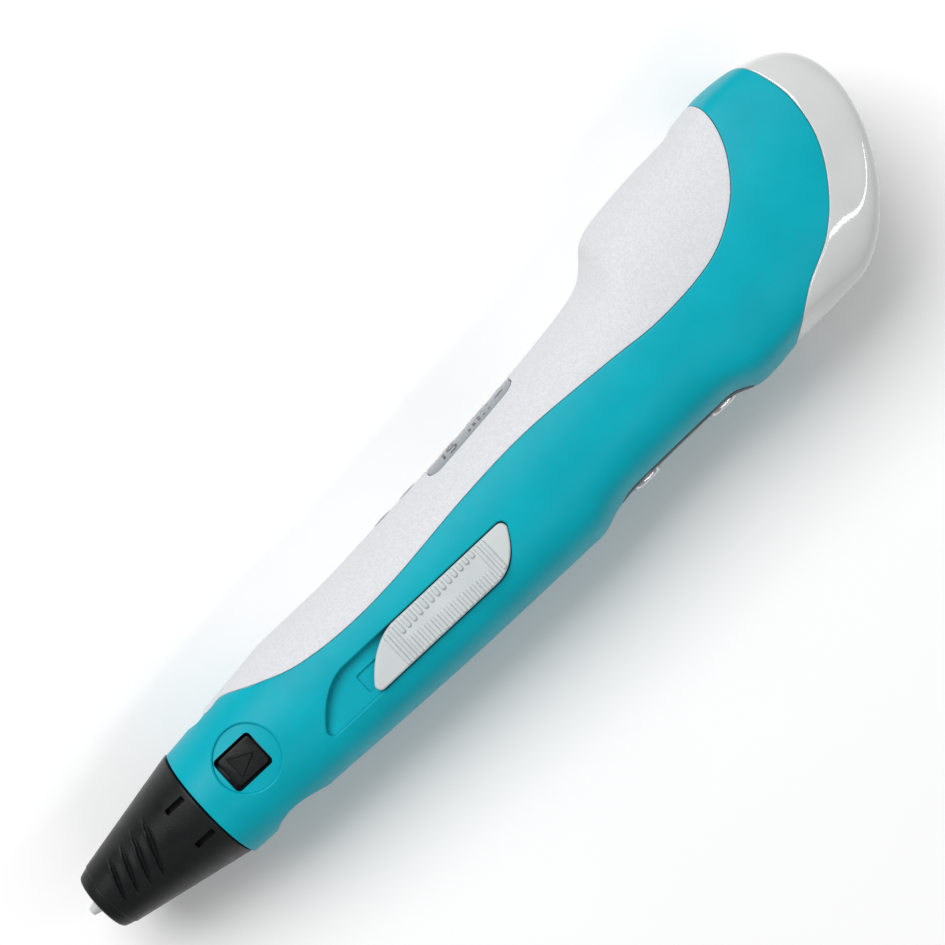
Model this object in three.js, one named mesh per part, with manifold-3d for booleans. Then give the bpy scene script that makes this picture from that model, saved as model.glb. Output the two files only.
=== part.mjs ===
// A 3D-printing pen: a teal body shell with a pearl cover and a gloss tail cap, a black pull-off
// nose over the hot end, a speed slider, four keys, a display, a filament drive and its electronics.
//
// Millimetres. While it is built, x runs from the nozzle tip to the tail along the filament axis,
// y points to the display side and z to the slider side, with the filament axis at y = z = 0.
// The finished group is moved so that the pen lies on its far side on z = 0, centred in x and y.

import * as THREE from 'three';
import { mergeVertices } from 'three/addons/utils/BufferGeometryUtils.js';
import { ParametricGeometry } from 'three/addons/geometries/ParametricGeometry.js';
import Module from 'manifold-3d';

const wasm = await Module();
wasm.setup();

// Driving dimensions
const LENGTH = 181.2; // nozzle tip to tail
const HALF_WIDTH = 15.5; // half of the widest section
const WALL = 1.8; // shell thickness
const GAP = 0.3; // clearance between neighbouring pieces
const FILAMENT_R = 0.875;
const TUBE_BORE_R = 1.1; // every passage that the filament slides through
const TUBE_R = 2;
const NOSE_FRONT = 2.4; // the nose's front face
const BODY_FRONT = 26.5; // joint between the nose and the body
const BODY_FRONT_R = 10.75;
const SKIRT_END = 42; // how far the nose's skirt reaches into the body
const SKIRT_R = 8.6;
const TAIL_Y = 15.8; // level of the rearmost point
const TAIL_ROUND = 3; // radius of the tail's side edges
const SLIDER_TILT = 0.046; // slope of the body's side along the slider, in radians
const SLIDER_TRAVEL = 10.5;

// Outline of the body, seen from the side
const TOP_LINE = [
  [26.5, 10.4], [31, 10.9], [37, 11.8], [44, 12.6], [51, 13.4], [62, 13.45], [79, 14.5], [99, 16.2],
  [120, 18.7], [126, 19.8], [129, 20.9], [131.6, 23.1], [133.6, 25.2], [136, 26.3], [140, 27],
  [148, 27.8], [155.5, 28.2], [158, 29], [163.5, 29.7],
];
const BOTTOM_LINE = [
  [26.5, -11.1], [45, -11.5], [60, -12], [80, -12.4], [103.5, -12.45], [109, -10.9], [113, -10.35],
  [134, -10.1], [141, -12], [150, -11.1], [162.5, -10.2],
];
const SIDE_LINE = [
  [26.5, BODY_FRONT_R], [45, 11.3], [80, 12.8], [120, 14.6], [145, HALF_WIDTH], [160, 15.4], [177, 14.5],
];
const CENTRE_LINE = [[26.5, -0.35], [60, 0.3], [100, 1], [140, 5], [165, 8], [LENGTH, TAIL_Y]];
const FACE_WIDTH = [[26.5, 1], [60, 1.2], [120, 1.25], [150, 1.5], [LENGTH, 2.2]];
const SIDE_HEIGHT = [[26.5, 1], [60, 1.3], [LENGTH, 1.45]];
const TOP_TAIL_POWER = 2.5;
const BOTTOM_TAIL_POWER = 1.6;
const SECTION_POWER = 8; // how tightly the top and side faces blend

// Parting lines, seen from the side
const COVER_SEAM = [
  [35.7, 15], [36, 11], [38, 11.35], [40.8, 11.8], [46.9, 8.8], [53.5, 6.6], [63, 5.6], [74.5, 6], [92, 8],
  [106, 8.8], [122, 8], [134, 7.2], [146, 8.6], [154, 12.8], [159, 18.4], [161.5, 24], [162, 30], [162, 35],
];
const CAP_SEAM = [
  [170.5, 35], [170.8, 30], [172.4, 24.5], [173.1, 18.5], [171.6, 11], [167.5, 4], [162, -1.4],
  [155, -5.2], [149.5, -9.5], [147, -14],
];

// Display-side features
const LENS = { x: 99.9, length: 20, width: 15, corner: 4 };
const TEMPERATURE_KEYS = { up: 85.2, down: 79.2 };
const TEMPERATURE_KEY_R = 2;

// Underside features
const FEED_KEYS = { load: 115.6, unload: 133 };
const FEED_KEY_R = 3;
const PANEL = { x: 124.3, length: 29, width: 11, corner: 4 };

// Filament drive, with its motor standing across the pen
const DRIVE_X = 149;
const DRIVE_GEAR_R = 5;
const IDLER_R = 4;
const ARM_PIVOT = { x: 139.5, z: -7 };
const SPRING = { x: 154.5, y: -3.6, from: -11, to: -9.1, radius: 1 };
const DRIVE_Z = FILAMENT_R + DRIVE_GEAR_R;
const IDLER_Z = -FILAMENT_R - IDLER_R;
const FRAME_PLATE = { x0: 137, x1: 159.5, y0: -6.5, y1: -5.4, halfWidth: 8.4 };
const FEED_SCREWS = { front: [141, 4.5], rear: [146.2, -1] }; // x and z

// Main board and the screws that hold it to the cover
const BOARD = { x0: 60, x1: 128, y0: 5.4, y1: 6.6, halfWidth: 8.6 };
const BOARD_SCREWS = { front: 66, rear: 118 };
const SCREW_R = 1;

const MATERIALS = {
  teal: [0x12a9bd, 0.38, 0],
  pearl: [0xdfe2e6, 0.35, 0],
  gloss: [0xd2d6d3, 0.12, 0],
  slider: [0xd7dcdc, 0.45, 0],
  black: [0x1a1c1e, 0.6, 0],
  ceramic: [0xc9cccd, 0.5, 0],
  grey: [0x8d9295, 0.4, 0],
  chrome: [0xb9bcc0, 0.2, 1],
  steel: [0x9da1a6, 0.35, 1],
  brass: [0xb08d45, 0.35, 1],
  board: [0x1f6b3a, 0.5, 0],
  lens: [0xa9b0b4, 0.1, 0],
  ptfe: [0xe9e9e4, 0.4, 0],
};

const pen = new THREE.Group();

function add(name, solid, look) {
  const [color, roughness, metalness] = MATERIALS[look];
  const material = new THREE.MeshStandardMaterial({ color, roughness, metalness });
  const mesh = new THREE.Mesh(toGeometry(solid), material);
  mesh.name = name;
  pen.add(mesh);
}

// Solids

function toSolid(geometry) {
  const bare = geometry.clone();
  for (const name of Object.keys(bare.attributes)) {
    if (name !== 'position') bare.deleteAttribute(name);
  }
  const merged = mergeVertices(bare, 1e-4);
  const corners = Array.from(merged.index.array);
  const triangles = [];
  for (let i = 0; i < corners.length; i += 3) {
    const [a, b, c] = corners.slice(i, i + 3);
    if (a !== b && b !== c && c !== a) triangles.push(a, b, c);
  }
  return new wasm.Manifold(
    new wasm.Mesh({
      numProp: 3,
      vertProperties: Float32Array.from(merged.attributes.position.array),
      triVerts: Uint32Array.from(triangles),
    }),
  );
}

function toGeometry(solid) {
  const mesh = solid.getMesh();
  const geometry = new THREE.BufferGeometry();
  geometry.setAttribute('position', new THREE.BufferAttribute(mesh.vertProperties, mesh.numProp));
  geometry.setIndex(new THREE.BufferAttribute(mesh.triVerts, 1));
  geometry.computeVertexNormals();
  return geometry;
}

function box(xs, ys, zs) {
  const [[x0, x1], [y0, y1], [z0, z1]] = [xs, ys, zs];
  const geometry = new THREE.BoxGeometry(x1 - x0, y1 - y0, z1 - z0);
  return toSolid(geometry.translate((x0 + x1) / 2, (y0 + y1) / 2, (z0 + z1) / 2));
}

// A round bar from one point to another along x, y or z.
function bar(radius, from, to, sides = 20, endRadius = radius) {
  const [start, end] = [new THREE.Vector3(...from), new THREE.Vector3(...to)];
  const span = end.clone().sub(start);
  const geometry = new THREE.CylinderGeometry(endRadius, radius, span.length(), sides);
  const turn = new THREE.Quaternion().setFromUnitVectors(new THREE.Vector3(0, 1, 0), span.normalize());
  const middle = start.add(end).multiplyScalar(0.5);
  return toSolid(geometry.applyQuaternion(turn).translate(middle.x, middle.y, middle.z));
}

// A shape of revolution about the filament axis, from [x, radius] pairs that close on themselves.
function turned(profile, sides = 32) {
  const points = profile.map(([x, r]) => new THREE.Vector2(r, x));
  points.push(points[0].clone());
  return toSolid(new THREE.LatheGeometry(points, sides).rotateZ(-Math.PI / 2));
}

function prism(shape, depth) {
  return new THREE.ExtrudeGeometry(shape, { depth, bevelEnabled: false, curveSegments: 6 });
}

function roundedRectangle(length, width, corner) {
  const [x, y] = [length / 2, width / 2];
  const shape = new THREE.Shape();
  shape.moveTo(-x + corner, -y);
  shape.lineTo(x - corner, -y);
  shape.absarc(x - corner, -y + corner, corner, -Math.PI / 2, 0);
  shape.lineTo(x, y - corner);
  shape.absarc(x - corner, y - corner, corner, 0, Math.PI / 2);
  shape.lineTo(-x + corner, y);
  shape.absarc(-x + corner, y - corner, corner, Math.PI / 2, Math.PI);
  shape.lineTo(-x, -y + corner);
  shape.absarc(-x + corner, -y + corner, corner, Math.PI, 1.5 * Math.PI);
  return shape;
}

// A rounded rectangle in the x-z plane, standing from y0 to y1 about the point (x, 0).
function upright(length, width, corner, x, y0, y1) {
  const geometry = prism(roundedRectangle(length, width, corner), y1 - y0);
  return toSolid(geometry.rotateX(-Math.PI / 2).translate(x, y0, 0));
}

function union(...solids) {
  return solids.reduce((whole, solid) => whole.add(solid));
}

function cut(solid, ...tools) {
  return tools.reduce((rest, tool) => rest.subtract(tool), solid);
}

// Body surface

// A smooth curve through the points that never swings past them.
function curveThrough(points) {
  const slopes = points.slice(1).map(([x, y], i) => (y - points[i][1]) / (x - points[i][0]));
  const tangents = points.map((_, i) => {
    if (i === 0) return slopes[0];
    if (i === points.length - 1) return slopes[i - 1];
    const [before, after] = [slopes[i - 1], slopes[i]];
    return before * after <= 0 ? 0 : (2 * before * after) / (before + after);
  });
  return (x) => {
    if (x <= points[0][0]) return points[0][1];
    if (x >= points.at(-1)[0]) return points.at(-1)[1];
    const i = points.findIndex((point) => point[0] > x) - 1;
    const span = points[i + 1][0] - points[i][0];
    const t = (x - points[i][0]) / span;
    const h = t * t * (3 - 2 * t);
    const bend = t * (1 - t) * span * ((1 - t) * tangents[i] - t * tangents[i + 1]);
    return points[i][1] * (1 - h) + points[i + 1][1] * h + bend;
  };
}

const topCurve = curveThrough(TOP_LINE);
const bottomCurve = curveThrough(BOTTOM_LINE);
const sideCurve = curveThrough(SIDE_LINE);
const centreCurve = curveThrough(CENTRE_LINE);
const faceWidthCurve = curveThrough(FACE_WIDTH);
const sideHeightCurve = curveThrough(SIDE_HEIGHT);

// Height of the outline at x, moved inwards by inset; past its last point it is a superellipse.
function outlineY(curve, points, power, x, inset) {
  const [lastX, lastY] = points.at(-1);
  const inward = Math.sign(lastY - TAIL_Y) * inset;
  if (x < lastX) return curve(x) - inward;
  const t = Math.min((x - lastX) / (LENGTH - inset - lastX), 1);
  return TAIL_Y + (lastY - inward - TAIL_Y) * (1 - t ** power) ** (1 / power);
}

const topY = (x, inset = 0) => outlineY(topCurve, TOP_LINE, TOP_TAIL_POWER, x, inset);
const bottomY = (x, inset = 0) => outlineY(bottomCurve, BOTTOM_LINE, BOTTOM_TAIL_POWER, x, inset);

function halfWidth(x, inset) {
  const past = x - (LENGTH - inset - TAIL_ROUND);
  const width = sideCurve(x) - inset;
  if (past <= 0) return width;
  return width - TAIL_ROUND + Math.sqrt(Math.max(TAIL_ROUND ** 2 - past ** 2, 0));
}

// Half the section's width at the share s of the way from its widest level to its top or bottom.
function sectionWidth(x, s) {
  const power = SECTION_POWER;
  const face = faceWidthCurve(x) ** -power;
  const side = (1 - (s / sideHeightCurve(x)) ** 2) ** (-power / 2);
  const spread = side + face * Math.max(1 - s * s, 1e-9) ** (-power / 2);
  return ((1 + face) / spread) ** (1 / power);
}

function sectionPoint(x, angle, inset, target) {
  const [top, bottom] = [topY(x, inset), bottomY(x, inset)];
  const centre = Math.min(Math.max(centreCurve(x), bottom), top);
  const s = Math.sin(angle);
  const y = centre + s * (s > 0 ? top - centre : centre - bottom);
  const z = Math.sign(Math.cos(angle)) * halfWidth(x, inset) * sectionWidth(x, Math.abs(s));
  target.set(x, y, z);
}

function bodySurfaceZ(x, y) {
  const centre = centreCurve(x);
  const reach = y > centre ? topY(x) - centre : centre - bottomY(x);
  return halfWidth(x, 0) * sectionWidth(x, Math.abs(y - centre) / reach);
}

// The whole body as one solid, shrunk by inset. Stations crowd together where the outline bends.
function bodySolid(inset, front, stations, sides) {
  const end = LENGTH - inset - 0.05;
  const place = (u) => front + (end - front) * Math.sin((u * Math.PI) / 2) ** 0.85;
  const surface = (v, u, target) => {
    const row = Math.round(u * (stations + 2)) - 1;
    const x = place(Math.min(Math.max(row / stations, 0), 1));
    if (row < 0 || row > stations) {
      target.set(x, centreCurve(x), 0);
      return;
    }
    sectionPoint(x, -2 * Math.PI * v, inset, target);
  };
  return toSolid(new ParametricGeometry(surface, sides, stations + 2));
}

// Everything on the outer side of a parting line, moved outwards by grow.
function beyond(seam, corner, grow) {
  const curve = new THREE.SplineCurve(seam.map(([x, y]) => new THREE.Vector2(x, y)));
  const count = 36;
  const points = [];
  for (let i = 0; i <= count; i += 1) {
    const tangent = curve.getTangent(i / count);
    const outward = new THREE.Vector2(tangent.y, -tangent.x).multiplyScalar(grow);
    points.push(curve.getPoint(i / count).add(outward));
  }
  points.push(...corner.map(([x, y]) => new THREE.Vector2(x, y)));
  const depth = 4 * HALF_WIDTH;
  return toSolid(prism(new THREE.Shape(points), depth).translate(0, 0, -depth / 2));
}

// Housing shells

const outer = bodySolid(0, BODY_FRONT + GAP, 36, 24);
const hollow = bodySolid(WALL, BODY_FRONT - WALL, 20, 16);
const shell = outer.subtract(hollow);
const coverSide = (grow) => beyond(COVER_SEAM, [[100, 45], [35.7 - grow, 45]], grow);
const tailSide = (grow) => beyond(CAP_SEAM, [[147 - grow, -30], [200, -30], [200, 35]], grow);

// Latch windows: on both sides and underneath, each in a shallow dish.
const WINDOW = { x: 36.4, length: 7.8, width: 6.6, corner: 0.8, y: 1.2 };
const DISH = { x: 37.3, radius: 5.8, depth: 0.8 };

function latchWindow(axisAngle, surfaceR, shift) {
  const hole = prism(roundedRectangle(WINDOW.length, WINDOW.width, WINDOW.corner), 2 * WALL);
  hole.translate(WINDOW.x, shift, surfaceR - 1.5 * WALL);
  const ballR = (DISH.radius ** 2 + DISH.depth ** 2) / (2 * DISH.depth);
  const ball = new THREE.SphereGeometry(ballR, 32, 32).rotateX(Math.PI / 2);
  ball.translate(DISH.x, shift, surfaceR + ballR - DISH.depth);
  const slice = bar(DISH.radius + 1, [DISH.x, shift, surfaceR - 2], [DISH.x, shift, surfaceR + 2], 24);
  const tool = union(toSolid(hole), toSolid(ball).intersect(slice));
  return tool.rotate([(axisAngle * 180) / Math.PI, 0, 0]);
}

const latchWindows = union(
  latchWindow(0, bodySurfaceZ(DISH.x, WINDOW.y), WINDOW.y),
  latchWindow(Math.PI, bodySurfaceZ(DISH.x, WINDOW.y), -WINDOW.y),
  latchWindow(Math.PI / 2, -bottomY(DISH.x), 0),
);

// Speed slider: a flat-topped key in a recess whose floor follows the slope of the body's side.
const SLIDER = { front: 60.3, rear: 93.4, low: -5.8, high: 1.2, x: 77, stemY: -2.9 };
const FLOOR_DEPTH = 1.9;
const sliderTop = bodySurfaceZ(SLIDER.x, SLIDER.high);

function sliderOutline(front, grow) {
  const [low, high] = [SLIDER.low - grow, SLIDER.high + grow];
  const [tip, rear] = [front - grow, SLIDER.rear + grow];
  const shape = new THREE.Shape();
  shape.moveTo(tip + 1, low);
  shape.lineTo(rear - 7.5, low);
  shape.quadraticCurveTo(rear - 3, low, rear, high - 1);
  shape.quadraticCurveTo(rear, high, rear - 1, high);
  shape.lineTo(tip + 8.8, high);
  shape.quadraticCurveTo(tip + 4, high - 0.6, tip, low + 1.4);
  shape.quadraticCurveTo(tip - 0.1, low, tip + 1, low);
  return shape;
}

// Moves a geometry drawn on the slider's own level plane onto the sloped side of the body.
function onSide(geometry) {
  geometry.translate(-SLIDER.x, 0, 0).rotateY(-SLIDER_TILT).translate(SLIDER.x, 0, sliderTop);
  return toSolid(geometry);
}

function sideBox(xs, ys, zs) {
  const geometry = new THREE.BoxGeometry(xs[1] - xs[0], ys[1] - ys[0], zs[1] - zs[0]);
  return onSide(geometry.translate((xs[0] + xs[1]) / 2, (ys[0] + ys[1]) / 2, (zs[0] + zs[1]) / 2));
}

function sidePlate(front, grow, z0, z1) {
  return onSide(prism(sliderOutline(front, grow), z1 - z0).translate(0, 0, z0));
}

const STEM = { halfLength: 2.6, halfWidth: 1.4, pocket: 0.9 };
// Two rows of short ribs that leave a widening lane between them, and long ribs at both ends.
const RIBS = {
  count: 13, first: 69.8, pitch: 1.36, width: 0.7, height: 0.3, low: -5.4, high: 0.8,
  across: [67.6, 68.7, 87.2, 88.1],
};
const aroundStem = (x, y) => [
  [SLIDER.x - x, SLIDER.x + x],
  [SLIDER.stemY - y, SLIDER.stemY + y],
];

function buildSlider() {
  const plate = sidePlate(SLIDER.front, 0, GAP - FLOOR_DEPTH, 0);
  const stem = sideBox(...aroundStem(STEM.halfLength, STEM.halfWidth), [-3.8, -1]);
  const pocket = sideBox(...aroundStem(STEM.pocket, STEM.pocket), [-4, -1.3]);
  const ribs = [];
  const addRib = (x, ys) => {
    ribs.push(sideBox([x - RIBS.width / 2, x + RIBS.width / 2], ys, [-0.2, RIBS.height]));
  };
  for (let i = 0; i < RIBS.count; i += 1) {
    const x = RIBS.first + RIBS.pitch * i;
    addRib(x, [-1.4 + 0.1 * i, RIBS.high]);
    addRib(x, [RIBS.low, -2.2 - 0.08 * i]);
  }
  for (const x of RIBS.across) addRib(x, [RIBS.low + 0.2, RIBS.high]);
  add('speed_slider', cut(union(plate, stem, ...ribs), pocket), 'slider');
}

function buildSlidePot() {
  const [top, bottom] = [-4.3, -9.6];
  const slotX = [SLIDER.x - SLIDER_TRAVEL - 1.2, SLIDER.x + 1.2];
  const body = sideBox([60, 94], [-6.6, 1], [bottom, top]);
  const slot = sideBox(slotX, [SLIDER.stemY - 0.9, SLIDER.stemY + 0.9], [bottom + 2.4, top + 1]);
  add('slide_pot_body', body.subtract(slot), 'steel');
  const wiper = sideBox(...aroundStem(0.6, 0.6), [bottom + 2.7, -1.3 - GAP]);
  add('slide_pot_lever', wiper, 'black');
}

function buildHousing() {
  const recess = sidePlate(SLIDER.front - SLIDER_TRAVEL, GAP, -FLOOR_DEPTH, 4);
  const track = sideBox([59, 92], [-4.7, -1.2], [-FLOOR_DEPTH - 0.4, 0]);
  const slotX = [
    SLIDER.x - STEM.halfLength - SLIDER_TRAVEL - GAP,
    SLIDER.x + STEM.halfLength + GAP,
  ];
  const stemSide = STEM.halfWidth + GAP;
  const slot = sideBox(slotX, [SLIDER.stemY - stemSide, SLIDER.stemY + stemSide], [-6, 0]);
  const floor = sideBox([47.5, 95], [-8.3, 2.6], [-FLOOR_DEPTH - 1.6, -1]).intersect(outer);
  const [panelLength, panelWidth] = [PANEL.length + 2 * GAP, PANEL.width + 2 * GAP];
  const panelHole = upright(panelLength, panelWidth, PANEL.corner + GAP, PANEL.x, -16, -6);
  const notch = bar(9, [34, topY(34) + 8.5, -5], [34, topY(34) + 8.5, 5], 48);
  const bosses = [];
  const bores = [];
  for (const [x, z] of Object.values(FEED_SCREWS)) {
    bosses.push(bar(2.2, [x, bottomY(x) + 1, z], [x, FRAME_PLATE.y0 - GAP, z]));
    bores.push(bar(SCREW_R + GAP, [x, bottomY(x) + 1.3, z], [x, 0, z], 16));
  }
  const housing = cut(union(shell, floor), coverSide(GAP), tailSide(GAP), recess, track, slot);
  const whole = union(cut(housing, panelHole, latchWindows, notch), ...bosses);
  add('lower_housing', cut(whole, ...bores), 'teal');
}

// Cover, with the display and its keys

function buildCover() {
  const lensHole = upright(LENS.length + 2 * GAP, LENS.width + 2 * GAP, LENS.corner + GAP, LENS.x, 9, 30);
  const tools = [lensHole];
  const bosses = [];
  for (const x of Object.values(BOARD_SCREWS)) {
    bosses.push(bar(2.4, [x, BOARD.y1 + GAP, 0], [x, topY(x) - 1, 0]));
    tools.push(bar(SCREW_R + GAP, [x, 0, 0], [x, BOARD.y1 + 3.5, 0], 16));
  }
  for (const x of Object.values(TEMPERATURE_KEYS)) {
    tools.push(bar(TEMPERATURE_KEY_R + GAP, [x, 9, 0], [x, 20, 0], 24));
  }
  const cover = shell.intersect(coverSide(0)).subtract(tailSide(GAP));
  add('top_cover', cut(union(cover, ...bosses), ...tools), 'pearl');
}

function buildDisplay() {
  const skin = outer.subtract(bodySolid(1, BODY_FRONT, 24, 20));
  const lens = upright(LENS.length, LENS.width, LENS.corner, LENS.x, 9, 30);
  add('lcd_lens', skin.intersect(lens), 'lens');
  add('lcd_module', box([88.5, 111.5], [7.9, 10.2], [-8, 8]), 'steel');
}

function buildTemperatureKeys() {
  for (const [way, x] of Object.entries(TEMPERATURE_KEYS)) {
    const top = outer.intersect(bar(TEMPERATURE_KEY_R, [x, topY(x) - 2.6, 0], [x, 20, 0], 24));
    const flangeTop = topY(x) - WALL - 2 * GAP;
    const flange = bar(TEMPERATURE_KEY_R + 0.7, [x, flangeTop - 0.7, 0], [x, flangeTop, 0], 24);
    const stem = bar(1, [x, 9.9, 0], [x, topY(x) - 2.8, 0], 16);
    add(`temperature_${way}_button`, union(top, flange, stem), 'grey');
    add(`temperature_${way}_switch`, box([x - 2.2, x + 2.2], [BOARD.y1 + GAP, 9.1], [-2.2, 2.2]), 'black');
  }
}

// Underside keys and their board

function buildFeedKeys() {
  const panelShape = upright(PANEL.length, PANEL.width, PANEL.corner, PANEL.x, -16, -6);
  const proud = 0.25;
  const lowered = outer.translate([0, -proud, 0]).subtract(hollow.translate([0, -0.6, 0]));
  const holes = Object.values(FEED_KEYS).map((x) => bar(FEED_KEY_R + GAP, [x, -16, 0], [x, -6, 0], 28));
  add('button_panel', cut(lowered.intersect(panelShape), ...holes), 'black');
  for (const [name, x] of Object.entries(FEED_KEYS)) {
    const face = bottomY(x) - 0.5;
    const domeR = 12;
    const dome = new THREE.SphereGeometry(domeR, 24, 40).translate(x, face + domeR, 0);
    const key = toSolid(dome).intersect(bar(FEED_KEY_R, [x, face - 1, 0], [x, -8, 0], 28));
    const flange = bar(FEED_KEY_R + 0.8, [x, -8.3, 0], [x, -7.6, 0], 28);
    const post = bar(FEED_KEY_R - 0.5, [x, -8.5, 0], [x, -7.4, 0], 20);
    add(`${name}_button`, union(key, flange, post), 'chrome');
    add(`${name}_switch`, box([x - 2.2, x + 2.2], [-6.6, -4.6], [-2.2, 2.2]), 'black');
  }
  add('button_board', box([110, 135.5], [-4.3, -3.3], [-4.5, 4.5]), 'board');
}

// Main board

function buildElectronics() {
  const width = [-BOARD.halfWidth, BOARD.halfWidth];
  const board = box([BOARD.x0, BOARD.x1], [BOARD.y0, BOARD.y1], width);
  const holes = Object.values(BOARD_SCREWS).map((x) => bar(SCREW_R + GAP, [x, 0, 0], [x, 10, 0], 16));
  add('main_board', cut(board, ...holes), 'board');
  const under = BOARD.y0 - GAP;
  add('microcontroller', box([98, 105], [under - 1, under], [-3.5, 3.5]), 'black');
  add('motor_driver', box([109, 114], [under - 1.2, under], [-2.5, 2.5]), 'black');
  add('power_capacitor', bar(2.2, [120, BOARD.y1 + 2.6, 5.5], [127, BOARD.y1 + 2.6, 5.5]), 'grey');
  for (const [place, x] of Object.entries(BOARD_SCREWS)) {
    const head = bar(1.9, [x, under - 1, 0], [x, under, 0], 16);
    const shank = bar(SCREW_R, [x, under - 0.5, 0], [x, BOARD.y1 + 3, 0], 16);
    add(`board_screw_${place}`, union(head, shank), 'steel');
  }
}

// Nose and hot end

function buildNose() {
  const outside = [
    [NOSE_FRONT, 1.8], [NOSE_FRONT, 4.4], [2.9, 5.2], [3.8, 5.8], [5.2, 6.2], [BODY_FRONT, BODY_FRONT_R],
    [BODY_FRONT, SKIRT_R], [SKIRT_END, SKIRT_R],
  ];
  const inside = [[SKIRT_END, 7.4], [24, 7.4], [6, 4.4], [4.4, 4.4], [4.4, 1.8]];
  const cone = turned([...outside, ...inside]);
  const slots = [];
  for (const y of [3.6, -3.6]) {
    for (const zs of [[8.4, 12], [-12, -8.4]]) slots.push(box([21.5, 25.4], [y - 0.5, y + 0.5], zs));
  }
  add('nose_cone', cut(cone, ...slots), 'black');
}

function buildHotEnd() {
  const nozzle = turned([[0, 0.35], [0, 0.6], [NOSE_FRONT, 1.35], [8, 1.6], [8, 0.35]], 24);
  add('ceramic_nozzle', nozzle, 'ceramic');
  add('heater_sleeve', turned([[8.3, 2.4], [8.3, 3.6], [17, 3.6], [17, 2.4]], 24), 'brass');
  add('throat_tube', turned([[8.3, TUBE_BORE_R], [8.3, 2.1], [31, 2.1], [31, TUBE_BORE_R]], 24), 'steel');
  add('thermistor', bar(0.8, [16, 4.8, 0], [19.5, 4.8, 0], 12), 'ceramic');
  const holder = turned([[24, 2.4], [24, 4.6], [30, 4.6], [30, 6.9], [41, 6.9], [41, 2.4]], 28);
  add('hot_end_holder', holder, 'ptfe');
  add('hot_end_board', turned([[41.3, 2.4], [41.3, 7], [42.4, 7], [42.4, 2.4]], 24), 'board');
  add('hot_end_connector', box([42.7, 49], [3, 6.4], [-4, 4]), 'black');
  const tube = [[31.3, TUBE_BORE_R], [31.3, TUBE_R], [143.4, TUBE_R], [143.4, TUBE_BORE_R]];
  add('guide_tube', turned(tube, 16), 'ptfe');
}

// Filament drive

// A block on the frame plate with a bore along the filament axis.
function guideBlock(xs, foot, boreR) {
  const bore = bar(boreR, [xs[0] - 1, 0, 0], [xs[1] + 1, 0, 0], 16);
  return box(xs, [foot, 2.6], [-2.6, 2.6]).subtract(bore);
}

function buildFeedFrame() {
  const { x0, x1, y0, y1, halfWidth: side } = FRAME_PLATE;
  const plate = box([x0, x1], [y0, y1], [-side, side]);
  const guides = union(
    guideBlock([138.5, 143], y1 - 0.5, TUBE_R + GAP),
    guideBlock([154.8, 159.5], y1 - 0.5, TUBE_BORE_R),
  );
  const cradle = union(
    box([141, 142.4], [y1 - 0.5, 11], [6.8, 9]),
    box([155.6, 157], [y1 - 0.5, 11], [3, 9]),
  );
  const pivot = bar(1, [ARM_PIVOT.x, y1 - 0.5, ARM_PIVOT.z], [ARM_PIVOT.x, -2, ARM_PIVOT.z], 16);
  const holes = [];
  for (const [place, [x, z]] of Object.entries(FEED_SCREWS)) {
    const head = bar(1.6, [x, y1 + GAP, z], [x, y1 + 1.1, z], 16);
    const shank = bar(SCREW_R, [x, bottomY(x) + 1.6, z], [x, y1 + 0.6, z], 16);
    add(`feed_screw_${place}`, union(head, shank), 'steel');
    holes.push(bar(SCREW_R + GAP, [x, y0 - 1, z], [x, y1 + 1, z], 16));
  }
  add('feed_frame', cut(union(plate, guides, cradle, pivot), ...holes), 'grey');
}

function buildDrive() {
  const [x, z] = [DRIVE_X, DRIVE_Z];
  add('motor_can', bar(5, [x, 12.6, z], [x, 20.4, z], 24), 'steel');
  add('motor_gearbox', box([x - 6, x + 6], [3.6, 12.3], [z - 5, z + 5]), 'brass');
  add('motor_shaft', bar(1.5, [x, -4, z], [x, 3.3, z], 16), 'steel');
  const teeth = 24;
  const toothDepth = 0.35;
  const gear = new THREE.Shape();
  for (let i = 0; i < 2 * teeth; i += 1) {
    const angle = (Math.PI * i) / teeth;
    const r = DRIVE_GEAR_R - (i % 2 === 0 ? 0 : toothDepth);
    if (i === 0) gear.moveTo(r, 0);
    else gear.lineTo(r * Math.cos(angle), r * Math.sin(angle));
  }
  const wheel = toSolid(prism(gear, 4).rotateX(-Math.PI / 2).translate(x, -2, z));
  add('drive_gear', wheel.subtract(bar(1.5 + GAP, [x, -5, z], [x, 5, z], 16)), 'brass');
}

function buildIdler() {
  const [x, z] = [DRIVE_X, IDLER_Z];
  const { x: px, z: pz } = ARM_PIVOT;
  const arm = union(
    box([px, x + 8], [-4.6, -3.4], [pz - 1.6, pz + 3]),
    bar(2.4, [px, -4.6, pz], [px, -3.4, pz]),
  );
  add('idler_arm', cut(arm, bar(1 + GAP, [px, -6, pz], [px, 0, pz], 16)), 'black');
  add('idler_axle', bar(1.4, [x, -3.1, z], [x, 3, z], 16), 'steel');
  const ring = bar(IDLER_R, [x, -2, z], [x, 2, z], 28).subtract(bar(1.7, [x, -3, z], [x, 3, z], 16));
  add('idler_bearing', ring, 'steel');
}

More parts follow.
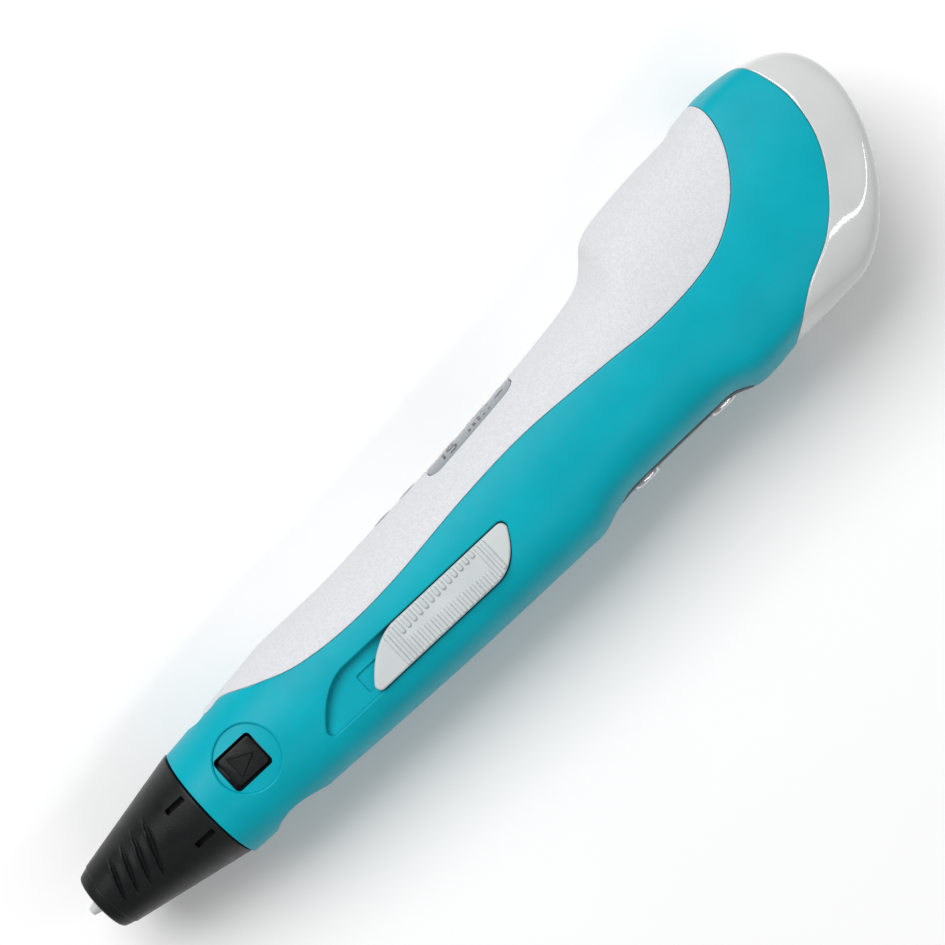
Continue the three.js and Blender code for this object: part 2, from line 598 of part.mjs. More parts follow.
// Pushes the arm so that the bearing presses the filament against the gear.
function buildIdlerSpring() {
  const turns = 3;
  const stepsPerTurn = 12;
  const wireR = 0.25;
  const wire = new THREE.Shape().absarc(0, 0, wireR, 0, 2 * Math.PI);
  const coil = [];
  for (let i = 0; i <= turns * stepsPerTurn; i += 1) {
    const angle = (2 * Math.PI * i) / stepsPerTurn;
    const share = i / (turns * stepsPerTurn);
    const reach = SPRING.from + (SPRING.to - SPRING.from) * share;
    coil.push(new THREE.Vector3(
      SPRING.x + SPRING.radius * Math.cos(angle),
      SPRING.y + SPRING.radius * Math.sin(angle),
      reach,
    ));
  }
  const spring = new THREE.ExtrudeGeometry(wire, {
    steps: turns * stepsPerTurn,
    extrudePath: new THREE.CatmullRomCurve3(coil),
    curveSegments: 3,
    bevelEnabled: false,
  });
  add('idler_spring', toSolid(spring), 'steel');
}

// Tail: power socket and filament inlet, both in holes of the cap
const SOCKET_Y = 13.5;

function buildTail() {
  const socketHole = bar(4.2, [160, SOCKET_Y, 0], [190, SOCKET_Y, 0], 28);
  const inletHole = bar(2.8, [150, 0, 0], [190, 0, 0], 24);
  add('tail_cap', cut(shell.intersect(tailSide(0)), socketHole, inletHole), 'gloss');
  const barrel = bar(3.9, [168, SOCKET_Y, 0], [180.4, SOCKET_Y, 0], 28);
  const body = box([166, 176], [SOCKET_Y - 4.5, SOCKET_Y + 5.5], [-4.5, 4.5]);
  const bore = bar(2.8, [169, SOCKET_Y, 0], [185, SOCKET_Y, 0], 24);
  add('power_socket', cut(union(barrel, body), bore), 'black');
  add('power_socket_pin', bar(1, [169.3, SOCKET_Y, 0], [179.5, SOCKET_Y, 0], 16), 'steel');
  const inlet = bar(2.4, [159.8, 0, 0], [172.6, 0, 0], 24);
  add('filament_inlet', inlet.subtract(bar(TUBE_BORE_R, [150, 0, 0], [180, 0, 0], 16)), 'black');
}

buildHousing();
buildCover();
buildTail();
buildNose();
buildHotEnd();
buildSlider();
buildSlidePot();
buildDisplay();
buildTemperatureKeys();
buildFeedKeys();
buildElectronics();
buildFeedFrame();
buildDrive();
buildIdler();
buildIdlerSpring();

const bounds = new THREE.Box3().setFromObject(pen);
const middle = bounds.getCenter(new THREE.Vector3());
pen.position.set(-middle.x, -middle.y, -bounds.min.z);

export default pen;
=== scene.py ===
"""Visual model of a 3D-printing pen that lies on its far side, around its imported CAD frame.

Shapes are worked out in millimetres in the pen's own frame: x from the nozzle tip to the tail along
the filament axis, y to the display side and z to the slider side, with the axis at y = z = 0.
"""

import math
from functools import cache

import bmesh
import bpy
import numpy as np
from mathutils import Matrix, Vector
from mathutils.kdtree import KDTree


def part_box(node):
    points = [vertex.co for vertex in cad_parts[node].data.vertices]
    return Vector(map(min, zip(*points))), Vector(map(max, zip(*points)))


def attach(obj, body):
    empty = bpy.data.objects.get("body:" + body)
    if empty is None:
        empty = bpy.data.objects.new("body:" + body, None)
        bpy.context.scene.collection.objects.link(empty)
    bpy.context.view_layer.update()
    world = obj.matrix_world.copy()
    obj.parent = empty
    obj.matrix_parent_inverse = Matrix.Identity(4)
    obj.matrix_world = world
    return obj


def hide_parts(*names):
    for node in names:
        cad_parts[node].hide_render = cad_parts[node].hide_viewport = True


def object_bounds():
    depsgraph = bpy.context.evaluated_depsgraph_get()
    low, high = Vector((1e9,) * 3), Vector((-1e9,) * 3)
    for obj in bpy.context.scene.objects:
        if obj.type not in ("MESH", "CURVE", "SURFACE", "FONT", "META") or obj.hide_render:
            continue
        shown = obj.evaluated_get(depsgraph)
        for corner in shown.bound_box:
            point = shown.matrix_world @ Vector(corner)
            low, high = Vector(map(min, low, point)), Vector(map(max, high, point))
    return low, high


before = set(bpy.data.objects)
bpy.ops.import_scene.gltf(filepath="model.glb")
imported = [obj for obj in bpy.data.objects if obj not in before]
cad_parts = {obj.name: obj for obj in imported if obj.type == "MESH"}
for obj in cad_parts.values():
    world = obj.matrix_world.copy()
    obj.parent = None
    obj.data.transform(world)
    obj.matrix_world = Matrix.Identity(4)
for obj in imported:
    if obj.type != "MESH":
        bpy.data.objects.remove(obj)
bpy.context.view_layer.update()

MM = 0.001
NOZZLE_LOW, NOZZLE_HIGH = (np.array(corner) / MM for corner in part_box("ceramic_nozzle"))
ORIGIN = np.array([NOZZLE_LOW[0], *(NOZZLE_LOW[1:] + NOZZLE_HIGH[1:]) / 2])


def cad_box(node):
    """A CAD node's corners in millimetres in the pen's own frame."""
    low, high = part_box(node)
    return np.array(low) / MM - ORIGIN, np.array(high) / MM - ORIGIN


# Driving dimensions
LENGTH = cad_box("tail_cap")[1][0] + 0.05
HALF_WIDTH = cad_box("lower_housing")[1][2]
BODY_FRONT = cad_box("lower_housing")[0][0]
SHELL = 1.5  # thickness of the housing shells
EDGE_ROUND = 0.12  # rounding of the shells' edges
SEAM_GAP = 0.055  # half of the gap along a parting line
TAIL_Y = 15.8  # level of the tail's furthest point
TAIL_ROUND = 3.0  # rounding of the tail's sides

# Speed slider on the near side, and the recess that it runs in
SLIDER_X = 77.0  # where the slider's own plane meets the body's side
SLIDER_Y = (-5.8, 1.2)
SLIDER_ENDS = (60.3, 93.4)
SLIDER_EDGE = 0.4  # rounding round its face
SLIDER_LIFT = 0.3  # its gap to the recess's floor
SLIDER_TRAVEL = 10.5
SLIDER_TILT = 0.046  # slope of the body's side along the slider, in radians
RECESS_DEPTH = 1.9
RECESS_WALL = 1.3  # left behind the recess's floor

# Outline of the body, seen from the side
TOP_LINE = [
    (26.5, 10.4), (31, 10.9), (37, 11.8), (44, 12.6), (51, 13.4), (62, 13.45), (79, 14.5),
    (99, 16.2), (120, 18.7), (126, 19.8), (129, 20.9), (131.6, 23.1), (133.6, 25.2), (136, 26.3),
    (140, 27.0), (148, 27.8), (155.5, 28.2), (158, 29.0), (163.5, 29.7),
]
BOTTOM_LINE = [
    (26.5, -11.1), (45, -11.5), (60, -12), (80, -12.4), (103.5, -12.45), (109, -10.9),
    (113, -10.35), (134, -10.1), (141, -12), (150, -11.1), (162.5, -10.2),
]
SIDE_LINE = [
    (26.5, 10.75), (45, 11.3), (80, 12.8), (120, 14.6), (145, HALF_WIDTH), (160, 15.4), (177, 14.5),
]
CENTRE_LINE = [(26.5, -0.35), (60, 0.3), (100, 1), (140, 5), (165, 8), (LENGTH, TAIL_Y)]
FACE_WIDTH = [(26.5, 1), (60, 1.2), (120, 1.25), (150, 1.5), (LENGTH, 2.2)]
SIDE_HEIGHT = [(26.5, 1), (60, 1.3), (LENGTH, 1.45)]
CREASE_POWER = [(26.5, 8), (120, 9), (150, 12), (LENGTH, 16)]
TOP_TAIL_POWER = 2.5
BOTTOM_TAIL_POWER = 1.6

# Parting lines, seen from the side, between their ends on the outline
COVER_ENDS = (36, 162)
COVER_SEAM = [
    (36, 11.4), (36.15, 11.2), (36.7, 11.13), (38, 11.2), (40.8, 11.3), (46.9, 8.8), (53.5, 6.6),
    (63, 5.6), (74.5, 6), (92, 8), (106, 8.8), (122, 8), (134, 7.2), (146, 8.6), (154, 12.8),
    (159, 18.4), (161.5, 24),
]
CAP_ENDS = (147.9, 170.8)
CAP_SEAM = [
    (149.5, -9.5), (155, -5.2), (162, -1.4), (167.5, 4), (171.6, 11), (173.1, 18.5), (172.4, 24.5),
]


# Curves

def curve_through(points):
    """A smooth function through the points that never swings past them."""
    xs, ys = np.array(points, float).T
    slopes = np.diff(ys) / np.diff(xs)
    before, after = slopes[:-1], slopes[1:]
    total = np.where(before + after, before + after, 1)
    inner = np.where(before * after > 0, 2 * before * after / total, 0)
    tangents = np.concatenate([slopes[:1], inner, slopes[-1:]])

    def curve(x):
        x = np.clip(x, xs[0], xs[-1])
        i = np.clip(np.searchsorted(xs, x, side="right") - 1, 0, len(xs) - 2)
        span = xs[i + 1] - xs[i]
        t = (x - xs[i]) / span
        h = t * t * (3 - 2 * t)
        bend = t * (1 - t) * span * ((1 - t) * tangents[i] - t * tangents[i + 1])
        return ys[i] * (1 - h) + ys[i + 1] * h + bend

    return curve


def smooth_path(points, count=600):
    """Points along a Catmull-Rom spline through the given ones."""
    p = np.array(points, float)
    p = np.vstack([2 * p[0] - p[1], p, 2 * p[-1] - p[-2]])
    u = np.linspace(0, len(points) - 1 - 1e-9, count)
    i = u.astype(int)
    t = (u - i)[:, None]
    a, b, c, d = p[i], p[i + 1], p[i + 2], p[i + 3]
    return 0.5 * (2 * b + (c - a) * t + (2 * a - 5 * b + 4 * c - d) * t**2 + (3 * (b - c) + d - a) * t**3)


def smoothstep(x, low, high):
    t = np.clip((x - low) / (high - low), 0, 1)
    return t * t * (3 - 2 * t)


top_curve, bottom_curve = curve_through(TOP_LINE), curve_through(BOTTOM_LINE)
side_curve, centre_curve = curve_through(SIDE_LINE), curve_through(CENTRE_LINE)
face_width, side_height = curve_through(FACE_WIDTH), curve_through(SIDE_HEIGHT)
crease_power = curve_through(CREASE_POWER)


def outline_y(curve, points, power, x):
    """Height of the outline at x. Past its last point it is a superellipse."""
    last_x, last_y = points[-1]
    t = np.clip((x - last_x) / (LENGTH - last_x), 0, 1)
    tail = TAIL_Y + (last_y - TAIL_Y) * (1 - t**power) ** (1 / power)
    return np.where(x < last_x, curve(x), tail)


def top_y(x):
    return outline_y(top_curve, TOP_LINE, TOP_TAIL_POWER, x)


def bottom_y(x):
    return outline_y(bottom_curve, BOTTOM_LINE, BOTTOM_TAIL_POWER, x)


def half_width(x):
    """The body's widest half width at x, rounded off at the tail."""
    past = np.clip(x - (LENGTH - TAIL_ROUND), 0, TAIL_ROUND)
    return side_curve(x) - TAIL_ROUND + np.sqrt(TAIL_ROUND**2 - past**2)


def section_reach(x, above):
    """The section's centre and its reach from there up or down."""
    top, bottom = top_y(x), bottom_y(x)
    centre = np.clip(centre_curve(x), bottom, top)
    return centre, np.maximum(np.where(above, top - centre, centre - bottom), 1e-6)


def section_width(x, s):
    """Half width at the share s of the way from the widest level to the top or bottom."""
    power = crease_power(x)
    face = face_width(x) ** -power
    side = (1 - (s / side_height(x)) ** 2) ** (-power / 2)
    spread = side + face * np.maximum(1 - s * s, 1e-12) ** (-power / 2)
    return half_width(x) * ((1 + face) / spread) ** (1 / power)


def body_z(x, y):
    """Half of the body's width at a point of its side view."""
    centre, reach = section_reach(x, y > centre_curve(x))
    s = np.clip(np.abs(y - centre) / reach, 0, 1)
    return np.where(s >= 1, 0, section_width(x, s))


def section_angle(x, y):
    """The angle round the section at a point of the side view: 90 degrees at the top."""
    centre, reach = section_reach(x, y > centre_curve(x))
    return np.arcsin(np.clip((y - centre) / reach, -1, 1))


def body_point(x, angle):
    s = np.sin(angle)
    centre, reach = section_reach(x, s > 0)
    on_outline = np.abs(np.cos(angle)) < 1e-6
    return np.stack([x, centre + s * reach, np.where(on_outline, 0, section_width(x, np.abs(s)))], -1)


def body_normal(x, angle):
    step = 1e-3
    along = body_point(x + step, angle) - body_point(x - step, angle)
    around = body_point(x, angle + step) - body_point(x, angle - step)
    normal = np.cross(along, around)
    normal /= np.maximum(np.linalg.norm(normal, axis=-1), 1e-12)[..., None]
    return normal * np.where(normal[..., 2:] < 0, -1, 1)


def solve(inside, low, high):
    """Where inside turns false between low, where it is true, and high."""
    for _ in range(40):
        middle = (low + high) / 2
        within = inside(middle)
        low, high = np.where(within, middle, low), np.where(within, high, middle)
    return (low + high) / 2


def top_surface(x, z):
    return solve(lambda y: body_z(x, y) > np.abs(z), centre_curve(x), top_y(x) + 0 * z)


def bottom_surface(x, z):
    return solve(lambda y: body_z(x, y) > np.abs(z), centre_curve(x), bottom_y(x) + 0 * z)


def tail_surface(y, z):
    return solve(lambda x: body_z(x, y) > np.abs(z), 160 + 0 * z, LENGTH + 0 * z)


slider_top = float(body_z(SLIDER_X, SLIDER_Y[1]))


# Meshes

WELD = 5e-8  # metres: only points that coincide are joined
SMOOTH_ANGLE = 32  # degrees: sharper edges than this stay hard


def to_frame(points):
    """Points in the pen's own millimetres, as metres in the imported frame."""
    return (np.asarray(points, float) + ORIGIN) * MM


def new_object(name, points, faces):
    mesh = bpy.data.meshes.new(name)
    mesh.from_pydata(to_frame(points).tolist(), [], [tuple(map(int, face)) for face in faces])
    bm = bmesh.new()
    bm.from_mesh(mesh)
    bmesh.ops.remove_doubles(bm, verts=bm.verts, dist=WELD)
    bmesh.ops.recalc_face_normals(bm, faces=bm.faces)
    bm.to_mesh(mesh)
    bm.free()
    obj = bpy.data.objects.new(name, mesh)
    bpy.context.collection.objects.link(obj)
    shade(obj)
    return obj


def shade(obj, smooth_angle=SMOOTH_ANGLE):
    obj.data.shade_smooth()
    obj.data.set_sharp_from_angle(angle=math.radians(smooth_angle))


def grid_faces(rows, columns, start=0, wrap=False):
    """Quads of a grid of points stored row by row. wrap closes each row on itself."""
    across = columns if wrap else columns - 1
    j, i = np.meshgrid(np.arange(rows - 1), np.arange(across), indexing="ij")
    after = (i + 1) % columns
    row, next_row = j * columns, (j + 1) * columns
    quads = np.stack([row + i, row + after, next_row + after, next_row + i], -1)
    return (quads.reshape(-1, 4) + start).tolist()


def boolean(obj, tool, operation="DIFFERENCE"):
    """Cuts or joins a tool object, which is used up."""
    modifier = obj.modifiers.new("cut", "BOOLEAN")
    modifier.operation = operation
    modifier.solver = "MANIFOLD"
    modifier.object = tool
    scene_state = bpy.context.evaluated_depsgraph_get()
    result = bpy.data.meshes.new_from_object(obj.evaluated_get(scene_state))
    obj.modifiers.clear()
    if len(result.polygons) == 0:
        raise RuntimeError(f"nothing is left of {obj.name} after {tool.name}")
    obj.data = result
    bpy.data.objects.remove(tool)


def solids(name, stacks):
    """Several closed solids in one mesh, each through its own rings of equal length."""
    points, faces = [], []
    for rings in stacks:
        start = sum(map(len, points))
        count, size = rings.shape[:2]
        points.append(rings.reshape(-1, 3))
        faces += grid_faces(count, size, start, wrap=True)
        faces.append(list(range(start, start + size)))
        faces.append(list(range(start + (count - 1) * size, start + count * size))[::-1])
    return new_object(name, np.vstack(points), faces)


def loft(name, rings):
    """A closed solid through rings, with flat ends."""
    return solids(name, [np.asarray(rings, float)])


def turn_profile(profile, sides, axis_y=0.0):
    """Points of revolution about an axis along x, one row for each [x, radius] pair."""
    angle = np.linspace(0, 2 * math.pi, sides, endpoint=False)
    x, r = np.array(profile, float).T[..., None]
    return np.stack([x + 0 * angle, axis_y + r * np.sin(angle), r * np.cos(angle)], -1)


def turned(name, profile, sides=96, axis_y=0.0):
    """A ring of revolution about an axis along x, from a profile that closes on itself."""
    rows = turn_profile(profile + profile[:1], sides, axis_y)
    return new_object(name, rows.reshape(-1, 3), grid_faces(len(rows), sides, wrap=True))


def arc(centre, radius, start, end, count=6):
    """Points of an arc, from one angle in degrees to another."""
    angle = np.radians(np.linspace(start, end, count))
    return [(centre[0] + radius * math.cos(a), centre[1] + radius * math.sin(a)) for a in angle]


def rounded_rectangle(centre, length, width, corner, count=8):
    x, y = length / 2 - corner, width / 2 - corner
    corners = [(x, -y, -90), (x, y, 0), (-x, y, 90), (-x, -y, 180)]
    return np.array([
        point
        for cx, cy, start in corners
        for point in arc((centre[0] + cx, centre[1] + cy), corner, start, start + 90, count)
    ])


def lengths(points):
    """Distance travelled from the first point to each of them."""
    steps = np.linalg.norm(np.diff(points, axis=0), axis=1)
    return np.concatenate([[0], np.cumsum(steps)])


def spread_points(outline, step=0.35):
    """The closed outline again, with points an even step apart."""
    closed = np.vstack([outline, outline[:1]])
    along = lengths(closed)
    count = max(24, int(along[-1] / step))
    at = np.linspace(0, along[-1], count, endpoint=False)
    return np.stack([np.interp(at, along, closed[:, 0]), np.interp(at, along, closed[:, 1])], 1)


def grown(outline, distance):
    """A counter-clockwise outline moved outwards."""
    ahead, behind = np.roll(outline, -1, 0), np.roll(outline, 1, 0)
    tangent = ahead - behind
    tangent /= np.linalg.norm(tangent, axis=1)[:, None]
    return outline + distance * np.stack([tangent[:, 1], -tangent[:, 0]], 1)


# Ways that a cutter can face: from its own two coordinates and height to the pen's x, y and z
FACINGS = {
    "near": lambda a, b, h: (a, b, h),
    "far": lambda a, b, h: (a, b, -h),
    "top": lambda a, b, h: (a, h, b),
    "bottom": lambda a, b, h: (a, -h, b),
    "tail": lambda a, b, h: (h, a, b),
}
SURFACES = {
    "near": body_z,
    "far": body_z,
    "top": top_surface,
    "bottom": lambda x, z: -bottom_surface(x, z),
    "tail": tail_surface,
}


def faced(facing, rings):
    """Rings of [a, b, height] points on one facing, in the pen's x, y and z."""
    return np.stack(FACINGS[facing](*np.moveaxis(np.asarray(rings), -1, 0)), -1)


def stacked(name, facing, rings):
    """A closed solid through rings of [a, b, height] points on one facing."""
    return loft(name, faced(facing, rings))


def at_height(outline, height):
    """An outline's points as [a, b, height]."""
    return np.column_stack([outline, np.broadcast_to(height, len(outline))])


def straight(outline, low, high):
    """The two rings of a prism."""
    return [at_height(outline, low), at_height(outline, high)]


def rounded_top(outline, edge, height, angles=(0, 30, 60, 90)):
    """Rings that round an outline over into a face at height(a, b)."""
    rings = []
    for angle in np.radians(angles):
        ring = grown(outline, -edge * (1 - math.cos(angle)))
        rings.append(at_height(ring, height(*ring.T) - edge * (1 - math.sin(angle))))
    return rings


def flared(outline, surface, lip):
    """Rings that open an outline into a rounded lip where it meets a surface."""
    rings = []
    for angle in np.radians([0, 14, 28, 42, 54, 64]):
        ring = grown(outline, lip * (1 - math.cos(angle)))
        rings.append(at_height(ring, surface(*ring.T) - lip * (1 - math.sin(angle))))
    for rise in (0.4, 1.2):
        ring = grown(outline, lip * (1 - math.cos(angle)) + rise)
        rings.append(at_height(ring, rings[-1][:, 2] + rise * 0.6))
    clear_of_surface = np.max(rings[-1][:, 2]) + 3
    return rings + [at_height(ring, clear_of_surface)]


def hole_tool(name, facing, outline, depth, lip, floor=None):
    """A cutter with a flared mouth, down to a depth below the surface or to a floor's heights."""
    surface = SURFACES[facing]
    base = np.min(surface(*outline.T)) - depth if floor is None else floor
    return stacked(name, facing, [at_height(outline, base)] + flared(outline, surface, lip))


def circle(centre, radius, sides=72):
    return np.array(arc(centre, radius, 0, 360 - 360 / sides, sides))


def bar_frame(start, end, width):
    """A bar's two end points, its unit direction and half its width as a vector."""
    start, end = np.array(start, float), np.array(end, float)
    along = (end - start) / np.linalg.norm(end - start)
    return start, end, along, width / 2 * np.array([-along[1], along[0]])


def bar_outline(start, end, width):
    """The corners of a straight bar between two points."""
    start, end, _, side = bar_frame(start, end, width)
    return np.array([start - side, end - side, end + side, start + side])


def plate(name, facing, outline, proud, thickness, edge, crown=0.0):
    """A solid whose face follows the body's surface, standing proud of it, with a rounded edge."""
    surface = SURFACES[facing]
    middle = outline.mean(axis=0)

    def face(a, b):
        return surface(a, b) + proud

    rings = []
    for share in (0.02, 0.5, 1):
        ring = middle + (outline - middle) * share
        rings.append(at_height(ring, face(*ring.T) - thickness))
    rings += rounded_top(outline, edge, face)
    rim = rings[-1][:, :2]
    for share in (0.96, 0.88, 0.76, 0.6, 0.42, 0.22, 0.02):
        ring = middle + (rim - middle) * share
        rings.append(at_height(ring, face(*ring.T) + crown * (1 - share**2)))
    return stacked(name, facing, rings)


# Housing shells

NEAR_OUTLINE = math.pi / 2  # section angle along the top outline; the bottom one is its negative


def seam_path(points, shift, first_angle, last_angle):
    """A parting line as [x, section angle] points, moved sideways by shift in the side view."""
    path = smooth_path(points, 3000)
    tangent = np.gradient(path, axis=0)
    tangent /= np.linalg.norm(tangent, axis=1)[:, None]
    path = path + shift * np.stack([tangent[:, 1], -tangent[:, 0]], 1)
    angle = section_angle(*path.T)
    angle[0], angle[-1] = first_angle, last_angle
    return np.stack([path[:, 0], angle], 1)


def outline_path(start, end, angle):
    x = np.linspace(start, end, 1200)
    return np.stack([x, np.full_like(x, angle)], 1)


def cover_seam(shift):
    first, last = ((x, float(top_y(x))) for x in COVER_ENDS)
    return seam_path([first, *COVER_SEAM, last], shift, NEAR_OUTLINE, NEAR_OUTLINE)


def cap_seam(shift):
    first = (CAP_ENDS[0], float(bottom_y(CAP_ENDS[0])))
    last = (CAP_ENDS[1], float(top_y(CAP_ENDS[1])))
    return seam_path([first, *CAP_SEAM, last], shift, -NEAR_OUTLINE, NEAR_OUTLINE)


def graded(total, step, start_edge=True, end_edge=True):
    """Places along a length, even but for the rounded edges at its ends."""
    edge = np.array([0, 0.2, 0.5, 1.0]) * EDGE_ROUND * min(1, total / 2)
    head = edge if start_edge else edge[:1]
    tail = total - (edge[::-1] if end_edge else edge[:1])
    count = max(3, round(total / step))
    return np.concatenate([head, np.linspace(head[-1], tail[0], count)[1:-1], tail])


def between(low_path, high_path, rungs, step, rows, start_edge):
    """A grid of [x, section angle] between two edges of a shell.

    rungs are pairs of side-view points, on the low and the high edge, that one column joins.
    """
    edges = []
    for path, side in ((low_path, 0), (high_path, 1)):
        points = body_point(*path.T)
        along = lengths(points)
        nearest = [along[np.argmin(np.hypot(*(points[:, :2] - pair[side]).T))] for pair in rungs]
        edges.append((path, along, np.concatenate([[0], nearest, [along[-1]]])))
    (low, low_along, low_marks), (high, high_along, high_marks) = edges
    at = graded(low_along[-1], step, start_edge, False)
    at_high = np.interp(at, low_marks, high_marks)
    low_ends = np.stack([np.interp(at, low_along, low[:, k]) for k in (0, 1)], 1)
    high_ends = np.stack([np.interp(at_high, high_along, high[:, k]) for k in (0, 1)], 1)
    grid = []
    share = np.linspace(0, 1, 240)
    for start, end in zip(low_ends, high_ends):
        line = start + (end - start) * share[:, None]
        along = lengths(body_point(*line.T))
        total = max(along[-1], 1e-9)
        places = graded(total, total / rows)
        wanted = np.interp(places, along, share)
        grid.append(start + (end - start) * wanted[:, None])
    return np.array(grid), at, at_high


def rounded_edge(points, normals, edge):
    """The surface's points lowered near its edge, as a fillet."""
    tree = KDTree(len(edge))
    for i, point in enumerate(edge):
        tree.insert(point, i)
    tree.balance()
    flat = points.reshape(-1, 3)
    distance = np.array([tree.find(point)[2] for point in flat]).reshape(points.shape[:-1])
    short = EDGE_ROUND - np.clip(distance, 0, EDGE_ROUND)
    depth = EDGE_ROUND - np.sqrt(EDGE_ROUND**2 - short**2)
    return points - normals * depth[..., None]


def inner_sheet(grid, wall):
    """The shell's inner surface: each section shrunk towards its centre."""
    x, angle = grid[..., 0], grid[..., 1]
    points = body_point(x, angle)
    centre, reach = section_reach(x, np.sin(angle) > 0)
    y = centre + (points[..., 1] - centre) * np.maximum(1 - wall / reach, 0.02)
    z = points[..., 2] * (1 - wall / half_width(x))
    return np.stack([x, y, z], -1)


def run(columns, row):
    """Grid cells along one row."""
    return [(column, row) for column in columns]


def closed_shell(name, outer, inner, open_runs):
    """A shell from one side's outer and inner sheets and their mirror image.

    open_runs are the runs of [column, row] where a rim joins the two sheets.
    """
    columns, rows = outer.shape[:2]
    size = columns * rows
    faces = grid_faces(columns, rows) + grid_faces(columns, rows, start=size)
    for cells in open_runs:
        indices = [column * rows + row for column, row in cells]
        faces += [(a, b, b + size, a + size) for a, b in zip(indices, indices[1:])]
    side = np.concatenate([outer.reshape(-1, 3), inner.reshape(-1, 3)])
    points = np.concatenate([side, side * (1, 1, -1)])
    faces += [[i + 2 * size for i in face] for face in faces]
    return new_object(name, points, faces)


def flattened(points, cells):
    """Points on the pen's middle plane, where the two halves meet."""
    for column, row in cells:
        points[column, row, 2] = 0


COVER_RUNGS = [
    ((46.9, 8.8), (45, 12.7)), ((74.5, 6), (73, 14.1)), ((106, 8.8), (104, 16.8)),
    ((134, 7.2), (128, 20.5)), ((146, 8.6), (135, 26)), ((154, 12.8), (144, 27.5)),
    ((159, 18.4), (150, 28)), ((161.5, 24), (155, 28.2)),
]
TEAL_RUNGS = [
    ((35.3, -11.3), (35.8, 11.6)), ((38, -11.3), (36.7, 11.13)), ((60, -12), (59, 5.9)),
    ((103.5, -12.45), (102, 8.6)), ((134, -10.1), (126, 7.8)), ((147, -11.4), (137, 7.3)),
    ((155, -5.2), (146, 8.6)), ((162, -1.4), (151, 10.8)), ((167.5, 4), (154.5, 13.2)),
    ((171.6, 11), (157.5, 16.3)), ((173.1, 18.5), (160.2, 21)), ((172.4, 24.5), (161.5, 25)),
]


def build_cover_shell():
    seam = cover_seam(-SEAM_GAP)
    top = outline_path(seam[0, 0], seam[-1, 0], NEAR_OUTLINE)
    grid, _, _ = between(seam, top, COVER_RUNGS, step=0.5, rows=44, start_edge=False)
    points = body_point(grid[..., 0], grid[..., 1])
    normals = body_normal(grid[..., 0], grid[..., 1])
    outer = rounded_edge(points, normals, body_point(*seam.T))
    inner = inner_sheet(grid, SHELL)
    everywhere = range(len(grid))
    middle = run(everywhere, -1) + [(0, row) for row in range(grid.shape[1])]
    middle += [(-1, row) for row in range(grid.shape[1])]
    for sheet in (outer, inner):
        flattened(sheet, middle)
    return closed_shell("top_cover_shell", outer, inner, [run(everywhere, 0)])


def recess_floor(x):
    """Height of the slider recess's floor, which slopes with the body's side."""
    return slider_top + (x - SLIDER_X) * math.tan(SLIDER_TILT) - RECESS_DEPTH


def recess_wall(points, inner_z):
    """The inner sheet's z, brought down behind the recess so that its floor has a wall."""
    x, y = points[..., 0], points[..., 1]
    near_recess = smoothstep(y, -10, -7.5) * (1 - smoothstep(y, 3, 5))
    near_recess = near_recess * smoothstep(x, 45.5, 48) * (1 - smoothstep(x, 95.5, 98))
    lowered = np.minimum(inner_z, recess_floor(x) - RECESS_WALL)
    return inner_z + (lowered - inner_z) * near_recess


def build_teal_shell():
    seam_low, seam_high = cap_seam(-SEAM_GAP), cover_seam(SEAM_GAP)
    bottom = outline_path(BODY_FRONT, seam_low[0, 0], -NEAR_OUTLINE)
    top = outline_path(BODY_FRONT, seam_high[0, 0], NEAR_OUTLINE)
    low, high = np.vstack([bottom[:-1], seam_low]), np.vstack([top[:-1], seam_high])
    grid, at_low, at_high = between(low, high, TEAL_RUNGS, step=0.55, rows=58, start_edge=True)
    x, angle = grid[..., 0], grid[..., 1]
    points, normals = body_point(x, angle), body_normal(x, angle)
    front = np.stack([np.full(400, BODY_FRONT), np.linspace(-NEAR_OUTLINE, NEAR_OUTLINE, 400)], 1)
    edge = np.vstack([body_point(*seam_low.T), body_point(*seam_high.T), body_point(*front.T)])
    outer = rounded_edge(points, normals, edge)
    inner = inner_sheet(grid, SHELL)
    inner[..., 2] = recess_wall(points, inner[..., 2])
    columns, rows = len(grid), grid.shape[1]
    bottom_end = int(np.searchsorted(at_low, lengths(body_point(*bottom.T))[-1]))
    top_end = int(np.searchsorted(at_high, lengths(body_point(*top.T))[-1]))
    middle = run(range(bottom_end + 1), 0) + run(range(top_end + 1), -1)
    middle += [(columns - 1, row) for row in range(rows)]
    for sheet in (outer, inner):
        flattened(sheet, middle)
    opening = [(0, row) for row in range(rows)]
    rims = [opening, run(range(bottom_end, columns), 0), run(range(top_end, columns), rows - 1)]
    return closed_shell("lower_housing_shell", outer, inner, rims)


CAP_CENTRE = np.array([156.0, 12.0])  # the cap's columns fan out from here in the side view
CAP_POWER = 12  # how tightly the cap's sides turn into its end
CAP_BLEND = 8.0  # the cap leaves the body's own section over this distance from its seam
CAP_HALF_HEIGHT, CAP_HALF_WIDTH = 16, 14  # sizes that its inner sheet is shrunk from


def side_face(x, y):
    """The body's side face as it would run on without rounded edges."""
    held = np.minimum(x, BOTTOM_LINE[-1][0])
    centre, reach = section_reach(held, y > centre_curve(held))
    s = np.abs(y - centre) / reach
    return side_curve(x) * np.sqrt(np.maximum(1 - (s / side_height(held)) ** 2, 0.05))


def cap_z(x, y, share, travelled):
    """Half width of the cap at a share of the way out from its centre to its outline."""
    pillow = side_face(x, y) * np.maximum(1 - share**CAP_POWER, 0) ** (1 / CAP_POWER)
    weight = smoothstep(travelled, 0, CAP_BLEND)
    return body_z(x, y) * (1 - weight) + pillow * weight


